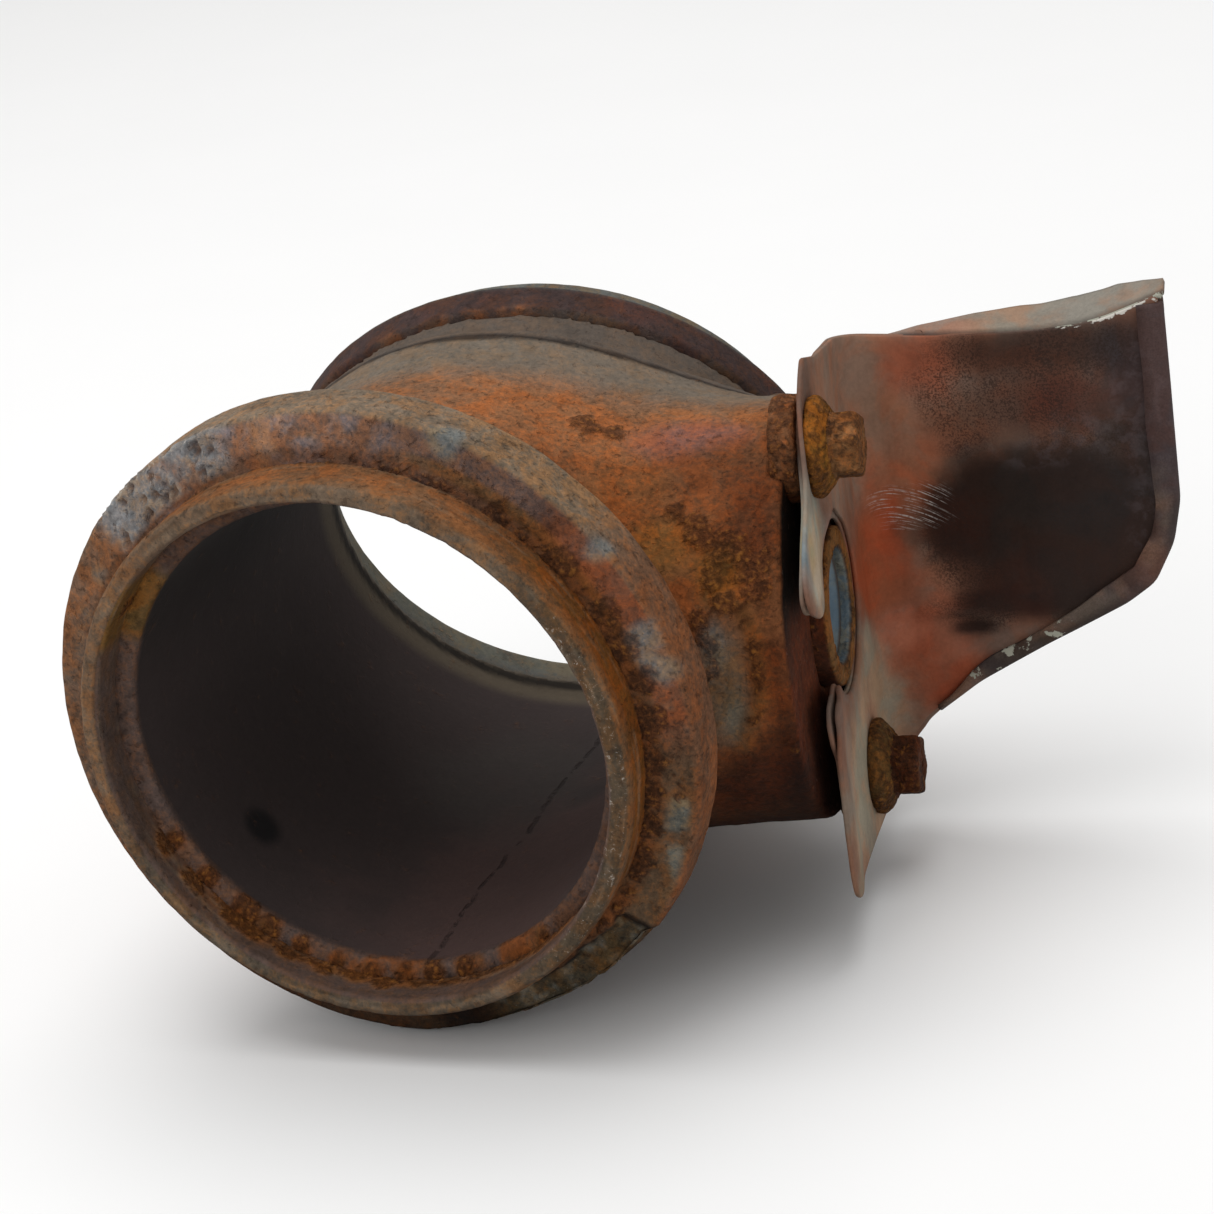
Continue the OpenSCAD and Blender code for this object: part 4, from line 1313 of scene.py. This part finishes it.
def build_front_skin():
    """The skin that is seen, on the plate and on the wall."""
    wall = TOP_EDGE + FRONT_END_EDGE + [(x - 0.6, z + 1.0) for x, z in LOW_EDGE[1:]]
    slot = [(-30.5, -10.6), (-26.8, -10.6), (-22.0, -12.0)] + arc_points(20.4, -143, 60, 30) + SLOT_TOP
    loop = rounded(LEFT + wall_points(wall) + BOTTOM + slot, 1.4, 1.2)
    flat, tris = fill([loop] + pad_holes(), 1.55, 1)

    def bulge(f):
        a, z = f[:, 0], f[:, 1]
        tongue = smooth(a, -26, -38) * smooth(z, 27, 15) * smooth(z, -2, 8)
        curl = np.exp(-(((a + 7) / 10) ** 2) - ((z - 24.5) / 3.2) ** 2)
        hook = smooth(a, -13, -30) * smooth(z, -24, -14) * smooth(z, 0, -6)
        split = np.exp(-(((a + 10 + 0.3 * (z + 22)) / 1.2) ** 2)) * smooth(z, -29, -26) * smooth(z, -17, -19)
        return dents(f) + 0.5 * tongue + 0.9 * curl + 0.8 * hook - 0.5 * split

    p, faces, source, on_edge = thickened(flat, tris, 1.0, lambda f, d: sheet_place(f, d, bulge(f)))
    tone = shield_tone(flat, 400)[source]
    masks = shield_masks(flat[source], on_edge, 410)
    material = sheet_material("shield_skin", (0.55, 0.52, 0.47))
    piece("shield_front", p, faces, tone, masks, material, ["shield_front_skin"])


# The hem's line on the wall, (x, z), and its folded section: (share of its width, inset, depth).
HEM_PATH = [
    (144.6, 54.0), (144.6, 34.0), (144.4, 5.0), (142.2, -5.2), (137.2, -14.9), (130.6, -19.6),
    (111.8, -28.7), (93.8, -38.1), (83.5, -45.4), (83.6, -45.3)
]
HEM_SECTION = [(1.0, 0.0, -1.15), (1.0, -0.12, -0.55), (1.0, 0.0, -0.15), (0.55, 0.0, -0.1), (0.0, 1.4, -0.1),
               (0.0, 1.2, 1.1), (0.0, 1.2, 2.15), (0.0, 0.5, 2.0), (0.0, 0.0, 1.45), (0.0, -0.28, 0.6),
               (0.0, -0.25, -0.2), (0.0, 0.1, -0.85), (0.0, 0.8, -1.2), (0.5, 0.0, -1.22)]


def swept_hem():
    """The folded hem along the wall's outer and lower edge: points, quads, and how far along each is."""
    path = rounded(HEM_PATH, 2.0, 1.1)
    last = np.argmin(np.linalg.norm(path - np.array(HEM_PATH[-2]), axis=1))
    first = np.argmin(np.linalg.norm(path - np.array(HEM_PATH[0]), axis=1))
    path = np.roll(path, -first, 0)[: (last - first) % len(path)]
    along = np.concatenate([[0], np.cumsum(np.linalg.norm(np.diff(path, axis=0), axis=1))])
    d = np.gradient(path, axis=0)
    d /= np.linalg.norm(d, axis=1, keepdims=True)
    for _ in range(3):
        d = (np.roll(d, 1, 0) + d + np.roll(d, -1, 0)) / 3
        d[0], d[-1] = d[1], d[-2]
    inward = np.stack([d[:, 1], -d[:, 0]], 1)
    rows = np.column_stack([path, 0 * along])
    width = 5.6 + 0.7 * noise(rows, 12, 500) - 1.6 * smooth(along, 78, 100)
    width *= 0.35 + 0.65 * smooth(along, along[-1], along[-1] - 22)
    gap = 0.12 * noise(rows, 9, 501)
    p = []
    for share, inset, depth in HEM_SECTION:
        x, z = (path + inward * (share * width + inset)[:, None]).T
        y = WALL_Y + depth - dents(np.column_stack([unrolled(x), z])) + gap
        p.append(np.stack([x, y, z], 1))
    p = np.stack(p, 0)
    m, n = p.shape[:2]
    i, j = np.arange(m)[:, None] * n, (np.arange(m)[:, None] + 1) % m * n
    k = np.arange(n - 1)[None, :]
    quads = np.stack([i + k, i + k + 1, j + k + 1, j + k], -1).reshape(-1, 4)
    fold = [[k, k + 1, 12 - k, 13 - k] for k in range(6)]
    caps = [np.array([[i * n + e for i in ring] for ring in fold]) for e in (0, n - 1)]
    caps[1] = caps[1][:, ::-1]
    p = p.reshape(-1, 3)
    return p, outward(p, [np.concatenate([quads, *caps])]), np.tile(along, m)


# How far the top lip runs back at each x, and its far corner (x, z).
LIP_DEPTH = [
    (77.5, 0.1), (84, 1.6), (92, 4.0), (101, 6.4), (112, 8.6), (124, 9.8), (134, 9.2), (140, 7.0),
    (144.8, 4.6)
]
LIP_END = (144.8, 54.8)


def lip_sheet():
    """The top lip: rolls back from the wall's top edge, then runs back and up."""
    xs = np.linspace(LIP_DEPTH[0][0], LIP_END[0], 58)
    depth = np.interp(xs, *zip(*LIP_DEPTH))
    edge = np.interp(xs, *zip(*TOP_EDGE, LIP_END))
    rows = []
    across = np.concatenate([[-0.28, -0.14], np.linspace(0, 1, 10)])
    for t in across:
        if t < 0:
            rise, back = t * 14, 0.0 * xs
        else:
            rise = t * depth * 0.36 + 0.9 * smooth(t, 0, 0.16) * smooth(xs, 78, 90)
            back = t * depth + 0.4 * smooth(t, 0, 0.2)
        wave = 0.25 * noise(np.column_stack([xs, 0 * xs + t * 10, 0 * xs]), 9, 510)
        rows.append(np.stack([xs, WALL_Y + 1.05 + back, edge - 0.6 + rise + wave], 1))
    top = np.stack(rows, 0)
    m, n = top.shape[:2]
    d_row, d_col = np.gradient(top, axis=0), np.gradient(top, axis=1)
    normal = np.cross(d_row, d_col)
    normal /= np.linalg.norm(normal, axis=2, keepdims=True)
    normal *= np.where(normal[..., 1:2] + normal[..., 2:3] > 0, 1, -1)
    p = np.concatenate([top.reshape(-1, 3), (top - normal * np.array([1, -1, 1])).reshape(-1, 3)])
    i, j = np.meshgrid(np.arange(m - 1), np.arange(n - 1), indexing="ij")
    a = (i * n + j).ravel()
    quads = np.stack([a, a + 1, a + n + 1, a + n], 1)
    under = quads[:, ::-1] + m * n
    near, far = np.arange(n), (m - 1) * n + np.arange(n - 2, -1, -1)
    loop = np.concatenate([near, np.arange(1, m) * n + n - 1, far, np.arange(m - 2, 0, -1) * n])
    nxt = np.roll(loop, -1)
    rim = np.stack([nxt, loop, loop + m * n, nxt + m * n], 1)
    return p, outward(p, [np.concatenate([quads, under, rim])])


# Colours of the hem and the lip: (centre, radii, colour, strength).
HEM_STROKES = [
    ((120, 38, -24), (12, 9, 8), (0.040, 0.026, 0.019), 0.9),
    ((144, 38, 40), (8, 9, 22), (0.070, 0.050, 0.052), 0.9),
    ((144, 38, 18), (8, 9, 12), (0.060, 0.038, 0.038), 0.8),
    ((138, 38, -10), (6, 9, 6), (0.110, 0.060, 0.045), 0.7),
    ((90, 38, -41), (9, 9, 7), (0.20, 0.13, 0.095), 0.7),
    ((112, 38, -30), (14, 9, 6), (0.045, 0.030, 0.021), 0.8),
]
# Bare flaked spots on the hem: (centre, radii).
HEM_FLAKES = [((102, 37, -30.0), (9, 9, 2.8)), ((109, 37, -26.2), (8, 9, 2.4)),
              ((94, 37, -34.5), (8, 9, 2.4)), ((116, 37, -23.0), (5, 9, 1.8))]
LIP_STROKES = [
    ((88, 42, 50), (16, 12, 12), (0.30, 0.185, 0.14), 0.8),
    ((130, 46, 52), (22, 12, 12), (0.25, 0.21, 0.17), 0.8),
]


def constant_masks(count, **values):
    """Masks with one value over all points."""
    return {name: np.full(count, value) for name, value in values.items()}


def hem_sheet():
    """The hem's points, faces, colours and masks."""
    p, faces, along = swept_hem()
    paint = Paint(p, (0.052, 0.034, 0.030))
    paint.strokes(HEM_STROKES, 460)
    inner_edge = np.repeat([1, 1, 1, 0.6] + [0] * 9 + [0.6], len(along) // len(HEM_SECTION))
    inner_edge = inner_edge * smooth(along, 30, 52) * smooth(fbm(p, 6, 3, 462), -0.25, 0.1)
    paint.lay(inner_edge, (0.17, 0.115, 0.085), 0.75)
    masks = constant_masks(len(p), haze=0.6, soot=0.35, scratch=0, crust=0.2, shine=0.4)
    masks["swirl"] = np.zeros_like(p)
    masks["worn"] = 0.60 * patches(p, HEM_FLAKES, 461, 0.6)
    return p, faces, paint.tone, masks


def top_lip():
    """The top lip's points, faces, colours and masks."""
    p, faces = lip_sheet()
    paint = Paint(p, (0.27, 0.205, 0.150))
    paint.strokes(LIP_STROKES, 470)
    fold = smooth(p[:, 1], WALL_Y + 3.2, WALL_Y + 1.2)
    paint.lay(fold, (0.05, 0.035, 0.03), 0.9)
    masks = constant_masks(len(p), haze=0, soot=0.10, scratch=0, shine=0.3)
    masks["swirl"] = np.zeros_like(p)
    masks["worn"] = 0.72 * smooth(p[:, 0], 108, 120) * fold
    masks["crust"] = 0.2 * fold
    return p, faces, paint.tone, masks


def backing_sheet():
    """The backing's own sheet: points, faces, colours and masks."""
    slot = [(-31.5, -10.6), (-26.8, -10.2), (-22.0, -11.8)] + arc_points(19.9, -143, 154, 40)
    slot += [(-21.0, 9.4), (-26.0, 11.2), (-32.0, 12.4)]
    wall = TOP_EDGE + [(144.6, 54.6), (144.5, 34.0), (144.3, 5.0), (142.0, -5.0)] + LOW_EDGE
    loop = rounded(BACK_LEFT + wall_points(wall) + BACK_BOTTOM + slot, 1.4, 1.3)
    flat, tris = fill([loop] + pad_holes(), 1.8, 2)

    def bulge(f):
        a, z = f[:, 0], f[:, 1]
        tongue = smooth(a, -26, -40) * smooth(z, 27, 15) * smooth(z, -2, 8)
        return dents(f) - 0.35 * tongue - 1.12

    p, faces, source, on_edge = thickened(flat, tris, 0.95, lambda f, d: sheet_place(f, d, bulge(f)))
    tone = shield_tone(flat, 440)[source]
    tone += 0.35 * (np.array([0.16, 0.12, 0.095]) - tone)
    masks = shield_masks(flat[source], on_edge, 450)
    masks["scratch"] *= 0
    return p, faces, tone, masks


def build_back_skin():
    """The backing: its own sheet, the folded hem and the top lip as one piece."""
    sheet, hem, lip = backing_sheet(), hem_sheet(), top_lip()
    after_sheet = len(sheet[0])
    faces = sheet[1] + [hem[1][0] + after_sheet, lip[1][0] + after_sheet + len(hem[0])]
    p, tone = (np.concatenate([part[k] for part in (sheet, hem, lip)]) for k in (0, 2))
    masks = {name: np.concatenate([part[3][name] for part in (sheet, hem, lip)]) for name in sheet[3]}
    material = sheet_material("shield_backing", (0.34, 0.34, 0.28))
    piece("shield_back", p, faces, tone, masks, material, ["shield_back_skin"])


# ---------------------------------------------------------------- the stage

# Metres, as the scene's own units. The camera is given by its place and its three axes.
FLOOR_HALF = 6.0
WORLD_COLOUR, WORLD_STRENGTH = (1.0, 0.995, 0.985, 1.0), 0.50
LAMPS = (("top_light", (-0.25, 0.10, 1.9), 2.0, 28.0), ("front_light", (-0.7, -1.3, 0.9), 1.2, 5.0))
CAMERA_PLACE = (0.1394, -0.6930, 0.3020)
CAMERA_RIGHT = (0.96766, 0.20249, -0.15043)
CAMERA_UP = (0.05608, 0.40874, 0.91093)
CAMERA_BACK = (0.24594, -0.88991, 0.38416)
CAMERA_LENS, SENSOR_WIDTH = 100.82, 36.0


def build_floor():
    """A pale floor just under the part."""
    low = min((o.matrix_world @ Vector(c)).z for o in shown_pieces() for c in o.bound_box)
    shader = Shader("pale_floor")
    speck = shader.noise(40, 3, 0.5)
    colour = shader.mix(speck, (0.92, 0.92, 0.92), (0.94, 0.94, 0.94))
    mesh = bpy.data.meshes.new("floor")
    corners = ((-1, -1), (1, -1), (1, 1), (-1, 1))
    mesh.from_pydata([(x * FLOOR_HALF, y * FLOOR_HALF, low) for x, y in corners], [], [(0, 1, 2, 3)])
    mesh.materials.append(shader.finish(colour, 0.9, speck, depth=0.02, specular=0.1))
    floor = bpy.data.objects.new("floor", mesh)
    bpy.context.scene.collection.objects.link(floor)
    floor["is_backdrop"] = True


def build_lights():
    """Soft studio light from all round, with one lamp over the part and one before it."""
    world = bpy.data.worlds.new("studio")
    world.use_nodes = True
    sky = world.node_tree.nodes["Background"]
    sky.inputs["Color"].default_value = WORLD_COLOUR
    sky.inputs["Strength"].default_value = WORLD_STRENGTH
    bpy.context.scene.world = world
    for name, place, size, power in LAMPS:
        lamp = bpy.data.lights.new(name, "AREA")
        lamp.shape = "SQUARE"
        lamp.size = size
        lamp.energy = power
        obj = bpy.data.objects.new(name, lamp)
        obj.location = place
        obj.rotation_mode = "QUATERNION"
        obj.rotation_quaternion = (-Vector(place)).to_track_quat("-Z", "Y")
        bpy.context.scene.collection.objects.link(obj)


def build_camera():
    """The camera, and plain colours for its picture."""
    lens = bpy.data.cameras.new("camera")
    lens.sensor_width = SENSOR_WIDTH
    lens.lens = CAMERA_LENS
    lens.dof.use_dof = False
    lens.clip_start, lens.clip_end = 0.05, 50.0
    camera = bpy.data.objects.new("camera", lens)
    columns = zip(CAMERA_RIGHT, CAMERA_UP, CAMERA_BACK, CAMERA_PLACE)
    camera.matrix_world = Matrix([*columns, (0, 0, 0, 1)])
    bpy.context.scene.collection.objects.link(camera)
    bpy.context.scene.camera = camera
    view = bpy.context.scene.view_settings
    view.view_transform = "Standard"
    view.look = "None"
    view.exposure = 0.0
    view.gamma = 1.0


build_casting()
build_front_ring()
build_front_sleeve()
build_rear_ring()
build_rear_sleeve()
build_boss()
build_bush()
build_fasteners()
build_front_skin()
build_back_skin()
build_floor()
build_lights()
build_camera()
